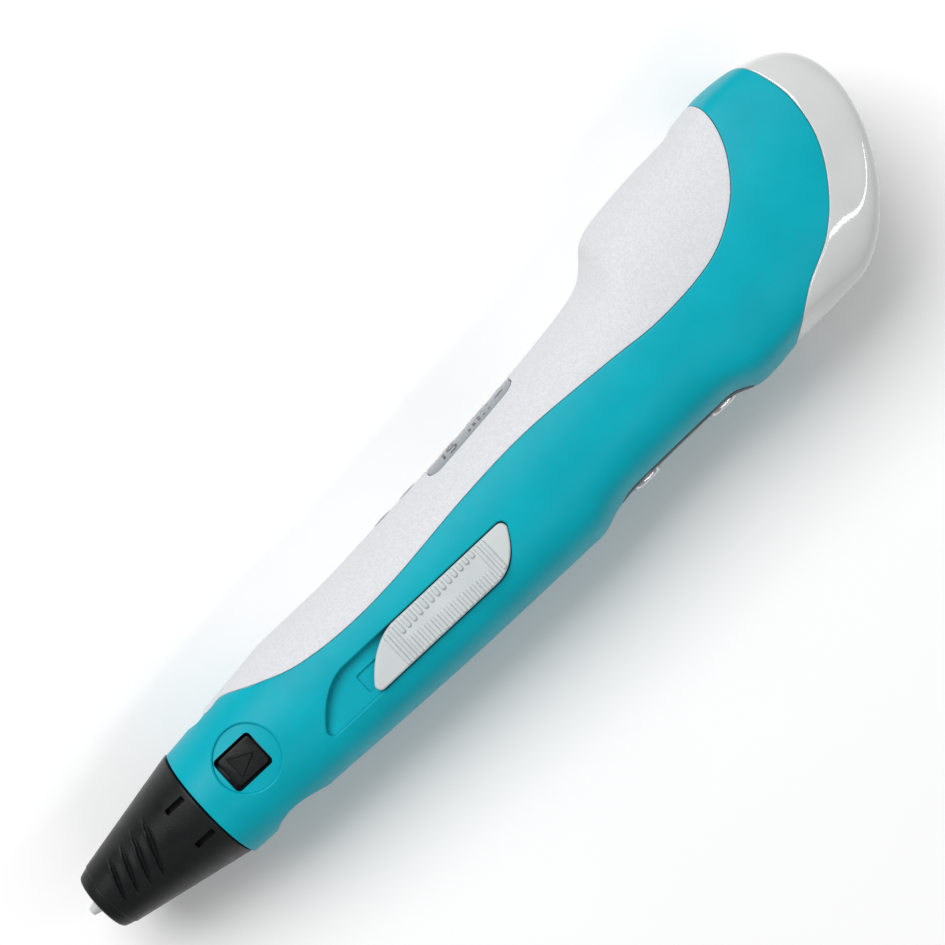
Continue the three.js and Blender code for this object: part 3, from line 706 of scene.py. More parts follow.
def cap_column(start):
    """The cap's surface from a point of its seam out to its outline, as an even row of points."""
    ray = start[:2] - CAP_CENTRE
    reach = solve(lambda t: inside_outline(CAP_CENTRE + ray * t), np.array(1.0), np.array(3.0))
    t = 1 + (reach - 1) * np.sin(np.linspace(0, math.pi / 2, 500))
    side = CAP_CENTRE + ray * t[:, None]
    from_seam = (t - 1) * np.linalg.norm(ray)
    line = np.column_stack([side, cap_z(*side.T, t / reach, from_seam)])
    line[0], line[-1, 2] = start, 0
    travelled = lengths(line)
    total = max(travelled[-1], 1e-6)
    places = graded(total, total / 60, True, False)
    return np.stack([np.interp(places, travelled, line[:, k]) for k in range(3)], 1)


def outward_normals(points, centre):
    """Unit normals of a grid of points, facing away from the centre."""
    along_u, along_v = np.gradient(points, axis=0), np.gradient(points, axis=1)
    normals = np.cross(along_u, along_v)
    normals /= np.maximum(np.linalg.norm(normals, axis=-1), 1e-9)[..., None]
    return normals * np.sign(np.sum(normals * (points - centre), -1))[..., None]


def build_cap_shell():
    edge = body_point(*cap_seam(SEAM_GAP).T)
    along = lengths(edge)
    at = graded(along[-1], 0.5, False, False)
    starts = np.stack([np.interp(at, along, edge[:, k]) for k in range(3)], 1)
    points = np.array([cap_column(start) for start in starts])
    outer = rounded_edge(points, outward_normals(points, (*CAP_CENTRE, 0)), edge)
    inner = points.copy()
    middle_y = CAP_CENTRE[1]
    inner[..., 1] = middle_y + (points[..., 1] - middle_y) * (1 - SHELL / CAP_HALF_HEIGHT)
    inner[..., 2] *= 1 - SHELL / CAP_HALF_WIDTH
    away_from_seam = smoothstep(np.linalg.norm(points - points[:, :1], axis=-1), 0, 6)
    inner[..., 0] -= SHELL * away_from_seam * smoothstep(points[..., 0], 158, 176)
    middle = run(range(len(points)), -1)
    middle += [(end, row) for end in (0, -1) for row in range(points.shape[1])]
    for sheet in (outer, inner):
        flattened(sheet, middle)
    return closed_shell("tail_cap_shell", outer, inner, [run(range(len(points)), 0)])


def inside_outline(point):
    x, y = point
    return (x < LENGTH) & (y < top_y(np.minimum(x, LENGTH))) & (y > bottom_y(np.minimum(x, LENGTH)))


# Openings in the shells

LATCH_Y = 1.2  # level of the windows on both sides
LATCH_PLACES = (("near", LATCH_Y), ("far", LATCH_Y), ("bottom", 0))
WINDOW = {"x": 36.4, "length": 7.8, "width": 6.6, "corner": 0.8, "depth": 3.5}
DISH = {"x": 37.3, "radius": 5.6, "rim": 0.6, "depth": 1.0, "lip": 0.5}
TRACK = {"x": 72.5, "y": -2.95, "length": 27, "width": 3.5, "corner": 0.35}  # step in the recess
TRACK_DEPTH = 0.4  # below the recess's floor
STEM_SLOT = {"x": 71.7, "y": -2.9, "length": 16.3, "width": 3.4, "corner": 0.3}
SCOOP = {"x": 34, "radius": 9, "rise": 8.5}  # rise of its centre above the outline
LENS = {"x": 99.9, "length": 20, "width": 15, "corner": 2.2}
TEMPERATURE_KEYS = {"up": 85.2, "down": 79.2}
TEMPERATURE_KEY_R = 2
FEED_KEYS = {"load": 115.6, "unload": 133}
FEED_KEY_R = 3
PANEL = {"x": 124.3, "length": 29, "width": 11, "corner": 4}
SOCKET_Y = 13.5
SOCKET_R = 4.1
INLET_R = 2.8
CLEARANCE = 0.15  # around keys, the lens and the panel
HOLE_DEPTH = 3  # enough to pass through a shell
HOLE_LIP = 0.3


def on_slope(points):
    """Points drawn on the slider's own level plane, on the sloped side of the body."""
    x, y, z = (points[..., k] for k in range(3))
    run_x, sine, cosine = x - SLIDER_X, math.sin(SLIDER_TILT), math.cos(SLIDER_TILT)
    return np.stack([SLIDER_X + run_x * cosine - z * sine, y, slider_top + run_x * sine + z * cosine], -1)


def bezier(start, control, end, count=14):
    t = np.linspace(0, 1, count)[:, None]
    start, control, end = map(np.array, (start, control, end))
    return (1 - t) ** 2 * start + 2 * t * (1 - t) * control + t**2 * end


def slider_outline(front, grow):
    """A slanted outline with a long curve at each end, from front to the slider's rear end."""
    low, high = SLIDER_Y[0] - grow, SLIDER_Y[1] + grow
    tip, rear = front - grow, SLIDER_ENDS[1] + grow
    outline = np.vstack([
        bezier((rear - 7.5, low), (rear - 3, low), (rear, high - 1.4)),
        bezier((rear, high - 1.4), (rear + 0.1, high), (rear - 1.4, high))[1:],
        bezier((tip + 8.8, high), (tip + 4, high - 0.6), (tip, low + 1.4)),
        bezier((tip, low + 1.4), (tip - 0.1, low), (tip + 1.2, low))[1:],
    ])
    return spread_points(outline, 0.3)


def rectangle(place, clearance=0.0, level=0.0, step=0.35):
    """A rounded rectangular outline, grown by a clearance."""
    length, width = place["length"] + 2 * clearance, place["width"] + 2 * clearance
    centre = (place["x"], place.get("y", level))
    return spread_points(rounded_rectangle(centre, length, width, place["corner"] + clearance), step)


def dish_tool(facing, level):
    """A cutter for a shallow dish that follows the surface round a window."""
    surface = SURFACES[facing]
    rings = []
    for share in np.linspace(0.05, 1, 12):
        ring = circle((DISH["x"], level), DISH["radius"] * share)
        sunk = DISH["rim"] + (DISH["depth"] - DISH["rim"]) * (1 - share**2)
        rings.append(at_height(ring, surface(*ring.T) - sunk))
    return stacked("dish", facing, rings + flared(ring, surface, DISH["lip"])[1:])


def open_windows(shell):
    for facing, level in LATCH_PLACES:
        boolean(shell, dish_tool(facing, level))
        outline = rectangle(WINDOW, level=level, step=0.2)
        boolean(shell, hole_tool("window", facing, outline, WINDOW["depth"], 0))


def open_slider_recess(shell):
    recess = slider_outline(SLIDER_ENDS[0] - SLIDER_TRAVEL, 0.2)
    boolean(shell, hole_tool("recess", "near", recess, 0, HOLE_LIP, recess_floor(recess[:, 0])))
    track = rectangle(TRACK)
    track_floor = recess_floor(track[:, 0]) - TRACK_DEPTH
    boolean(shell, hole_tool("track", "near", track, 0, 0, track_floor))
    boolean(shell, hole_tool("slot", "near", rectangle(STEM_SLOT), 7, 0))


def open_front_notch(shell):
    """A thumb scoop in front of the cover's tongue."""
    centre = (SCOOP["x"], float(top_y(SCOOP["x"])) + SCOOP["rise"])
    boolean(shell, loft("notch", straight(circle(centre, SCOOP["radius"], 160), -5, 5)))


def build_housing():
    shell = build_teal_shell()
    open_windows(shell)
    open_slider_recess(shell)
    open_front_notch(shell)
    panel_hole = hole_tool("panel_hole", "bottom", rectangle(PANEL, CLEARANCE), HOLE_DEPTH, HOLE_LIP)
    boolean(shell, panel_hole)
    shade(shell)
    finish_piece(shell, "housing", "lower_housing", "teal_plastic")


def build_cover():
    shell = build_cover_shell()
    boolean(shell, hole_tool("lens_hole", "top", rectangle(LENS, CLEARANCE), HOLE_DEPTH, HOLE_LIP))
    for x in TEMPERATURE_KEYS.values():
        hole = circle((x, 0), TEMPERATURE_KEY_R + CLEARANCE)
        boolean(shell, hole_tool("key_hole", "top", hole, HOLE_DEPTH, 0.2))
    shade(shell)
    finish_piece(shell, "housing", "top_cover", "pearl_plastic")


def build_cap():
    shell = build_cap_shell()
    boolean(shell, hole_tool("socket_hole", "tail", circle((SOCKET_Y, 0), SOCKET_R), 6, 0.35))
    boolean(shell, hole_tool("inlet_hole", "tail", circle((0, 0), INLET_R), 5, 0.35))
    shade(shell)
    finish_piece(shell, "housing", "tail_cap", "gloss_plastic")


# Slider

RIBS = {"count": 13, "first": 69.8, "pitch": 1.36, "width": 0.86, "height": 0.42}
RIB_CORNER, RIB_EDGE, RIB_ROOT = 0.36, 0.34, -0.3
LONG_RIBS = (67.1, 68.5, 87.4, 88.7)
RIB_MARGIN = 0.12  # between the ribs and the slider's outline
STEM = {"length": 5.2, "width": 2.8, "corner": 0.3, "foot": -3.8, "top": -1}  # joins its lever


def rib(x, low, high):
    """The rings of one rounded bar across the slider."""
    outline = rounded_rectangle((x, (low + high) / 2), RIBS["width"], high - low, RIB_CORNER, 5)
    rings = [at_height(outline, RIB_ROOT)] + rounded_top(outline, RIB_EDGE, lambda x, y: RIBS["height"])
    return on_slope(np.array(rings))


def crossing(outline, x):
    """Lowest and highest y where a closed outline crosses x."""
    ahead = np.roll(outline, -1, axis=0)
    crossed = (outline[:, 0] - x) * (ahead[:, 0] - x) <= 0
    return outline[crossed, 1].min(), outline[crossed, 1].max()


def rib_limits(outline, x):
    """The y range that a rib at x may take inside the slider's outline."""
    sides = [crossing(outline, x + side * RIBS["width"] / 2) for side in (-1, 1)]
    low, high = max(side[0] for side in sides), min(side[1] for side in sides)
    return low + RIB_MARGIN, high - RIB_MARGIN


def slider_ribs():
    """Two rows of ribs with a plain strip between them, and long ribs at both ends."""
    outline = spread_points(slider_outline(SLIDER_ENDS[0], 0), 0.2)
    bars = []
    for i in range(RIBS["count"]):
        x = RIBS["first"] + RIBS["pitch"] * i
        low, high = rib_limits(outline, x)
        bars.append(rib(x, -1.4 + 0.1 * i, high))
        bars.append(rib(x, low, -2.2 - 0.08 * i))
    bars += [rib(x, *rib_limits(outline, x)) for x in LONG_RIBS]
    return solids("ribs", bars)


def build_slider():
    outline = slider_outline(SLIDER_ENDS[0], 0)
    rings = [at_height(outline, SLIDER_LIFT - RECESS_DEPTH)]
    rings += rounded_top(outline, SLIDER_EDGE, lambda x, y: 0, (0, 20, 40, 60, 75, 90))
    slider = loft("speed_slider_key", on_slope(np.array(rings)))
    boolean(slider, slider_ribs(), "UNION")
    centre = (SLIDER_X, STEM_SLOT["y"])
    stem = rounded_rectangle(centre, STEM["length"], STEM["width"], STEM["corner"])
    legs = on_slope(np.array(straight(stem, STEM["foot"], STEM["top"])))
    boolean(slider, loft("stem", legs), "UNION")
    shade(slider, 40)
    finish_piece(slider, "slider", "speed_slider", "slider_plastic")


# Nose

NOSE_FRONT, NOSE_REAR, NOSE_REAR_R = 2.4, BODY_FRONT - 0.32, 10.62
CONE_START, CONE_START_R = 4.6, 6.2
SKIRT_END, SKIRT_R = 42.0, 8.6  # the part that plugs into the body
NOSE_SIDES = 288
GRIP_LOW = np.array([(6.4, -2.6), (14.0, -3.9)])  # lower ends of the first and the last grip mark
GRIP_HIGH = np.array([(9.2, 4.7), (17.9, 5.9)])
GRIP_COUNT = 4
GRIP_DEPTH, GRIP_RIDGE = 0.6, 0.26
GRIP_END = 20.2  # no mark reaches further back
NOSE_SLOT = {"x": 23.5, "y": 3.6, "length": 3.9, "width": 1.0, "corner": 0.15, "floor": 7.0}
PAD = {"x": WINDOW["x"], "length": 7.0, "width": 5.8, "corner": 0.7}
PAD_ROOT, PAD_TOP, PAD_EDGE, PAD_SLOPE = 7.8, 8.8, 0.3, 0.05
ARROW = ((34.6, 1.9), (34.6, -1.9), (38.6, 0))
ARROW_LINE, ARROW_DEPTH = 0.22, 0.3


def grip_depth(x, y):
    """Depth of the slanted, leaf-shaped marks that fingers hold the nose by."""
    depth = np.zeros_like(x)
    for share in np.linspace(0, 1, GRIP_COUNT):
        low = GRIP_LOW[0] * (1 - share) + GRIP_LOW[1] * share
        high = GRIP_HIGH[0] * (1 - share) + GRIP_HIGH[1] * share
        along = np.clip((y - low[1]) / (high[1] - low[1]), 0, 1)
        swell = np.sin(math.pi * along)
        bow = 0.9 * along * (1 - along)
        centre = low[0] + (high[0] - low[0]) * along - bow
        width = 0.12 + (0.95 + 0.35 * share) * swell**0.8
        across = (x - centre) / width
        hollow = smoothstep(across, -0.15, 0.2) * (1 - smoothstep(across, 0.2, 1.0)) * swell**0.6
        ridge = np.exp(-(((x - centre) / 0.22) ** 2)) * swell**0.4
        inside = (y > low[1]) & (y < high[1])
        depth += np.where(inside, GRIP_DEPTH * hollow - GRIP_RIDGE * ridge, 0)
    return depth


def cone_radius(x):
    share = (x - CONE_START) / (NOSE_REAR - CONE_START)
    return CONE_START_R + (NOSE_REAR_R - CONE_START_R) * share


def nose_profile():
    """The nose's half section, round its outside and back through its bore."""
    front = [(NOSE_FRONT, 1.8), (NOSE_FRONT, 4.5)] + arc((3.1, 4.9), 0.7, 180, 115, 6)[1:]
    front += [(3.4, 5.75), (4.3, 5.98), (4.48, 6.0), (4.5, 6.12)]
    marked, plain = np.linspace(CONE_START, 20, 104), np.linspace(20.5, NOSE_REAR - 0.25, 20)
    cone = [(x, cone_radius(x)) for x in np.concatenate([marked, plain])]
    back = [(NOSE_REAR - 0.08, NOSE_REAR_R - 0.05), (NOSE_REAR, NOSE_REAR_R - 0.25), (NOSE_REAR, SKIRT_R)]
    skirt = [(SKIRT_END - 0.3, SKIRT_R), (SKIRT_END, SKIRT_R - 0.3), (SKIRT_END, 7.4)]
    inside = [(24, 7.4), (6, 4.4), (4.4, 4.4), (4.4, 1.8)]
    return front + cone + back + skirt + inside


def build_nose():
    profile = nose_profile()
    rows = turn_profile(profile + profile[:1], NOSE_SIDES)
    x, y = rows[..., 0], rows[..., 1]
    radius = np.hypot(y, rows[..., 2])
    on_cone = (x > CONE_START) & (x < GRIP_END) & (radius > 6)
    cut = np.where(on_cone, grip_depth(x, y), 0)
    rows[..., 1:] *= (1 - cut / np.maximum(radius, 1))[..., None]
    nose = new_object("nose_cone_shell", rows.reshape(-1, 3), grid_faces(len(rows), NOSE_SIDES, wrap=True))
    for y in (NOSE_SLOT["y"], -NOSE_SLOT["y"]):
        slot = rounded_rectangle(
            (NOSE_SLOT["x"], y), NOSE_SLOT["length"], NOSE_SLOT["width"], NOSE_SLOT["corner"])
        for facing in ("near", "far"):
            boolean(nose, stacked("slot", facing, straight(slot, NOSE_SLOT["floor"], 13)))
    for facing, level in LATCH_PLACES:
        boolean(nose, latch_pad(facing, level), "UNION")
        boolean(nose, arrow_groove(facing, level))
    shade(nose)
    finish_piece(nose, "nose", "nose_cone", "black_plastic")


def latch_pad(facing, level):
    """The snap pad that shows in a window of the body."""
    outline = rectangle(PAD, level=level, step=0.25)
    rings = [at_height(outline, PAD_ROOT)]
    rings += rounded_top(outline, PAD_EDGE, lambda x, y: PAD_TOP + PAD_SLOPE * (x - PAD["x"]))
    return stacked("pad", facing, rings)


def arrow_groove(facing, level):
    """A thin engraved triangle that points to the tail."""
    corners = [(x, y + level) for x, y in ARROW]
    sides = []
    for start, end in zip(corners, corners[1:] + corners[:1]):
        outline = bar_outline(start, end, ARROW_LINE)
        sides.append(stacked("groove", facing, straight(outline, PAD_TOP - ARROW_DEPTH, PAD_TOP + 1)))
    for side in sides[1:]:
        boolean(sides[0], side, "UNION")
    return sides[0]


# Hot end and the turned pieces at the tail. Each outline is [x, radius].

NOZZLE = [(0, 0.35), (0, 0.62), (0.1, 0.74), (NOSE_FRONT, 1.42), (2.9, 1.52), (8, 1.6), (8, 0.35)]
THROAT = [
    (8.3, 1.1), (8.3, 1.9), (8.5, 2.1), (22.4, 2.1), (22.6, 1.6), (23.4, 1.6), (23.6, 2.1),
    (30.8, 2.1), (31, 1.9), (31, 1.1),
]
HOLDER = [
    (24, 2.4), (24, 4.3), (24.3, 4.6), (29.7, 4.6), (30, 4.9), (30, 6.6), (30.3, 6.9), (34, 6.9),
    (34.2, 6.5), (35, 6.5), (35.2, 6.9), (40.7, 6.9), (41, 6.6), (41, 2.4),
]
HOT_BOARD = [(41.3, 2.4), (41.3, 7), (42.4, 7), (42.4, 2.4)]
COIL = {"turns": 11, "first": 8.75, "pitch": 0.78, "radius": 3.3, "wire": 0.36}
SOCKET_RIM = 180.35
SOCKET_BLOCK = (10, 10, 0.6)  # length, width and corner


def turned_piece(name, outline, sides, replaced, slot):
    finish_piece(turned(name, outline, sides), "housing", replaced, slot)


def build_hot_end():
    coil = [(8.3, 2.4)]
    for i in range(COIL["turns"]):
        centre = (COIL["first"] + COIL["pitch"] * i, COIL["radius"])
        coil += arc(centre, COIL["wire"], 170, 10, 6)
    coil += [(17, 3.2), (17, 2.4)]
    turned_piece("ceramic_nozzle_turned", NOZZLE, 64, "ceramic_nozzle", "ceramic")
    turned_piece("heater_sleeve_turned", coil, 64, "heater_sleeve", "brass")
    turned_piece("throat_tube_turned", THROAT, 64, "throat_tube", "steel")
    turned_piece("hot_end_holder_turned", HOLDER, 72, "hot_end_holder", "ptfe")
    turned_piece("hot_end_board_turned", HOT_BOARD, 72, "hot_end_board", "board_green")


def build_tail_fittings():
    barrel = [(168, 2.8), (168, 3.85)] + arc((SOCKET_RIM - 0.3, 3.55), 0.3, 90, 0, 5)
    barrel += arc((SOCKET_RIM - 0.25, 3.05), 0.25, 0, -90, 5)
    socket = turned("socket_barrel", barrel, 72, SOCKET_Y)
    block = rounded_rectangle((171, SOCKET_Y + 0.5), *SOCKET_BLOCK)
    body = loft("power_socket_body", straight(block, -4.5, 4.5))
    bore = turned("bore", [(169, 0.01), (169, 2.8), (182, 2.8), (182, 0.01)], 72, SOCKET_Y)
    boolean(body, socket, "UNION")
    boolean(body, bore)
    shade(body)
    finish_piece(body, "housing", "power_socket", "black_plastic")
    pin = [(169.3, 0.02), (169.3, 1.0)] + arc((178.8, 0.35), 0.65, 90, 5, 6) + [(179.45, 0.02)]
    pin = turned("power_socket_pin_turned", pin, 40, SOCKET_Y)
    finish_piece(pin, "housing", "power_socket_pin", "steel")
    inlet = [(159.8, 1.1), (159.8, 2.4)] + arc((172.3, 2.1), 0.3, 90, 0, 5) + [(172.6, 1.7), (171.8, 1.1)]
    turned_piece("filament_inlet_turned", inlet, 64, "filament_inlet", "black_plastic")


# Display and keys

SEGMENTS = {  # the two ends of each bar of a digit, in half heights
    "top": ((-0.5, 1), (0.5, 1)), "upper_left": ((-0.5, 1), (-0.5, 0)), "upper_right": ((0.5, 1), (0.5, 0)),
    "middle": ((-0.5, 0), (0.5, 0)), "lower_left": ((-0.5, 0), (-0.5, -1)),
    "lower_right": ((0.5, 0), (0.5, -1)), "bottom": ((-0.5, -1), (0.5, -1)),
}
DIGITS = {
    "2": ("top", "upper_right", "middle", "lower_left", "bottom"),
    "1": ("upper_right", "lower_right"),
    "0": ("top", "upper_left", "upper_right", "lower_left", "lower_right", "bottom"),
    "5": ("top", "upper_left", "middle", "lower_right", "bottom"),
}
LENS_LEVEL = -0.06  # the lens lies this far below the cover's surface
READOUT = (  # symbols, x of the first, pitch, z and height
    ("210", 95.3, 3.6, -1.6, 5.2),
    ("15", 92.8, 2.7, 4.9, 3.2),
)
BAR_HEIGHTS = (-0.05, 0.02)  # foot and face of the read-out's bars, from the lens's face
KEY_PROUD = 0.85  # how far the feed keys stand out of their panel
KEY_FOOT = ((7.4, 2.5), (7.6, 3.7), (8.2, 3.7), (8.3, 3.0))  # height and radius
KEY_DOME = (  # radius, and height from the middle of the face
    (3.0, -0.9), (2.98, -0.6), (2.9, -0.45), (2.75, -0.33), (2.3, -0.2), (1.6, -0.09), (0.8, -0.02),
    (0.05, 0),
)


def bar_rings(start, end, width):
    """A flat bar with pointed ends just above the lens, between two [x, z] points."""
    start, end, along, side = bar_frame(start, end, width)
    start, end = start + along * width * 0.6, end - along * width * 0.6
    first, last = start - along * width / 2, end + along * width / 2
    outline = np.array([start + side, first, start - side, end - side, last, end + side])
    lens_face = top_surface(*outline.T) + LENS_LEVEL
    return faced("top", [at_height(outline, lens_face + height) for height in BAR_HEIGHTS])


def digit_bars(symbol, x, z, height):
    """Bars of one digit, read with the nozzle to the left."""
    half = height / 2
    bars = []
    for name in DIGITS[symbol]:
        start, end = ((x + a * half, z - b * half) for a, b in SEGMENTS[name])
        bars.append(bar_rings(start, end, 0.16 * height))
    return bars


def build_display():
    lens = plate("lcd_lens_window", "top", rectangle(LENS), LENS_LEVEL, 0.9, edge=0.18)
    finish_piece(lens, "housing", "lcd_lens", "display_window")
    bars = []
    for symbols, first_x, pitch, z, height in READOUT:
        for i, symbol in enumerate(symbols):
            bars += digit_bars(symbol, first_x + pitch * i, z, height)
    for i in range(5):
        x = 99.6 + 1.2 * i
        bars.append(bar_rings((x, 6.6), (x, 5.5 - 0.6 * i), 0.6))
    for z in (-3.6, 0.4, 5.0):
        bars.append(bar_rings((106.0, z), (108.2, z), 0.6))
    digits = solids("lcd_digits", bars)
    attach(digits, "housing")
    digits.data.materials.append(material_of("lcd_ink"))


def build_temperature_keys():
    reach = 0.7  # half length of the strokes of plus and minus
    for way, x in TEMPERATURE_KEYS.items():
        disc = circle((x, 0), TEMPERATURE_KEY_R)
        cap = plate(f"temperature_{way}_cap", "top", disc, 0.05, 2.6, edge=0.25, crown=0.12)
        strokes = [((x - reach, 0), (x + reach, 0)), ((x, -reach), (x, reach))]
        for start, end in strokes if way == "up" else strokes[:1]:
            level = float(top_y(start[0]))
            stroke = straight(bar_outline(start, end, 0.28), level - 0.12, level + 1)
            boolean(cap, stacked("stroke", "top", stroke))
        stem = straight(circle((x, 0), 1.0, 32), 9.9, float(top_y(x)) - 2.2)
        boolean(cap, stacked("stem", "top", stem), "UNION")
        shade(cap)
        finish_piece(cap, f"temperature_{way}_key", f"temperature_{way}_button", "grey_plastic")


def build_feed_keys():
    panel = plate("button_panel_plate", "bottom", rectangle(PANEL, 0.05), 0.04, 1.5, edge=0.2)
    for x in FEED_KEYS.values():
        hole = circle((x, 0), FEED_KEY_R + CLEARANCE)
        boolean(panel, hole_tool("key_hole", "bottom", hole, HOLE_DEPTH, 0.25))
    shade(panel)
    finish_piece(panel, "housing", "button_panel", "black_plastic")
    for name, x in FEED_KEYS.items():
        face = -float(bottom_y(x)) + KEY_PROUD
        rings = [at_height(circle((x, 0), radius), height) for height, radius in KEY_FOOT]
        rings += [at_height(circle((x, 0), radius), face + rise) for radius, rise in KEY_DOME]
        key = stacked(f"{name}_key_cap", "bottom", rings)
        tip = 0.9 if name == "load" else -0.9
        for side in (-0.9, 0.9):
            boolean(key, key_mark(x, side, tip, face))
        shade(key)
        finish_piece(key, f"{name}_key", f"{name}_button", "key_chrome")


def key_mark(x, side, tip, face):
    """One half of the engraved chevron that shows which way the filament goes."""
    outline = bar_outline((x + tip * 0.7, side), (x - tip * 0.5, 0), 0.32)
    return stacked("mark", "bottom", straight(outline, face - 0.25, face + 1))


# Materials

def new_material(name, colour, roughness, **inputs):
    """A Principled material with its constants set on the shader's own sockets."""
    material = bpy.data.materials.new(name)
    material.use_nodes = True
    shader = material.node_tree.nodes["Principled BSDF"]
    shader.inputs["Base Color"].default_value = (*colour, 1)
    shader.inputs["Roughness"].default_value = roughness
    for socket, value in inputs.items():
        shader.inputs[socket.replace("_", " ")].default_value = value
    return material


def node(material, kind, **settings):
    made = material.node_tree.nodes.new(kind)
    for key, value in settings.items():
        if key in made.inputs:
            made.inputs[key].default_value = value
        else:
            setattr(made, key, value)
    return made


def link(material, source, target):
    material.node_tree.links.new(source, target)


def fixed_to_object(material, kind, **settings):
    """A texture node that takes the object's own coordinates."""
    texture = node(material, kind, **settings)
    place = node(material, "ShaderNodeTexCoord")
    link(material, place.outputs["Object"], texture.inputs["Vector"])
    return texture


def noise(material, size_mm, detail=3.0, stretch=(1, 1, 1)):
    """Noise whose features are about size_mm across, fixed to the object."""
    mapping = fixed_to_object(material, "ShaderNodeMapping")
    mapping.inputs["Scale"].default_value = [1 / (size_mm * MM) * k for k in stretch]
    texture = node(material, "ShaderNodeTexNoise", Scale=1.0, Detail=detail)
    link(material, mapping.outputs["Vector"], texture.inputs["Vector"])
    return texture.outputs["Fac"]


def ranged(material, value, low, high, from_low=0.3, from_high=0.7):
    """A value spread out over a wider range."""
    spread = node(material, "ShaderNodeMapRange")
    names = ("From Min", "From Max", "To Min", "To Max")
    for name, number in zip(names, (from_low, from_high, low, high)):
        spread.inputs[name].default_value = number
    link(material, value, spread.inputs["Value"])
    return spread.outputs["Result"]


def vary_colour(material, value, dark, light):
    """Base colour that runs from dark to light as a value goes from 0 to 1."""
    shader = material.node_tree.nodes["Principled BSDF"]
    mix = node(material, "ShaderNodeMix", data_type="RGBA")
    colours = [socket for socket in mix.inputs if socket.type == "RGBA"]
    colours[0].default_value, colours[1].default_value = (*dark, 1), (*light, 1)
    link(material, value, mix.inputs["Factor"])
    result = next(socket for socket in mix.outputs if socket.type == "RGBA")
    link(material, result, shader.inputs["Base Color"])


def vary_roughness(material, value, low, high):
    shader = material.node_tree.nodes["Principled BSDF"]
    link(material, ranged(material, value, low, high), shader.inputs["Roughness"])


def bumps(material, *layers):
    """Bump from pairs of a height and its depth in millimetres."""
    shader = material.node_tree.nodes["Principled BSDF"]
    normal = None
    for value, depth in layers:
        bump = node(material, "ShaderNodeBump", Strength=1.0, Distance=depth * MM)
        link(material, value, bump.inputs["Height"])
        if normal:
            link(material, normal, bump.inputs["Normal"])
        normal = bump.outputs["Normal"]
    link(material, normal, shader.inputs["Normal"])


def moulded(name, dark, light, rough, grain_mm, grain_depth, **inputs):
    """Moulded plastic: cloudy colour, a fine texture and handled, slightly uneven gloss."""
    material = new_material(name, light, sum(rough) / 2, **inputs)
    vary_colour(material, ranged(material, noise(material, 9.0), 0, 1), dark, light)
    vary_roughness(material, noise(material, 2.2, 5), *rough)
    grain = noise(material, grain_mm, 2)
    ripple = noise(material, 6.0, 1)
    bumps(material, (ripple, 0.02), (grain, grain_depth))
    return material


def pearl_plastic(name):
    """White plastic with fine pearl flakes."""
    dark, light = (0.56, 0.575, 0.60), (0.64, 0.655, 0.68)
    material = moulded(name, dark, light, (0.42, 0.5), 0.14, 0.004, Specular_IOR_Level=0.2)
    flakes = fixed_to_object(material, "ShaderNodeTexVoronoi", Scale=1 / (0.22 * MM))
    shade_of = node(material, "ShaderNodeSeparateColor")
    link(material, flakes.outputs["Color"], shade_of.inputs["Color"])
    vary_colour(material, shade_of.outputs["Red"], dark, light)
    return material


def brushed(name, dark, light, rough, stretch):
    """Metal with fine lines drawn out along one way."""
    material = new_material(name, light, sum(rough) / 2, Metallic=1.0)
    lines = noise(material, 0.12, 3, stretch)
    vary_colour(material, ranged(material, lines, 0, 1), dark, light)
    vary_roughness(material, lines, *rough)
    bumps(material, (lines, 0.003))
    return material


def board_green(name):
    """Circuit board: green solder mask over faint copper tracks."""
    material = new_material(name, (0.01, 0.14, 0.05), 0.3, Coat_Weight=0.5, Coat_Roughness=0.12)
    tracks = fixed_to_object(
        material, "ShaderNodeTexVoronoi", feature="DISTANCE_TO_EDGE", Scale=1 / (2.4 * MM))
    track = ranged(material, tracks.outputs["Distance"], 1, 0, 0.05, 0.09)
    vary_colour(material, track, (0.006, 0.10, 0.035), (0.02, 0.24, 0.09))
    vary_roughness(material, noise(material, 1.5), 0.25, 0.4)
    bumps(material, (track, 0.03))
    return material


def display_window(name):
    """Pale grey liquid-crystal window with a faint, finely ribbed backing."""
    material = new_material(name, (0.24, 0.27, 0.29), 0.2, Specular_IOR_Level=0.12)
    ribs = fixed_to_object(
        material, "ShaderNodeTexWave", wave_type="BANDS", Scale=0.5 / (0.4 * MM), Distortion=0.3)
    vary_colour(material, ribs.outputs["Fac"], (0.235, 0.265, 0.285), (0.275, 0.305, 0.325))
    vary_roughness(material, noise(material, 3.0), 0.10, 0.18)
    bumps(material, (noise(material, 4.0), 0.004))
    return material


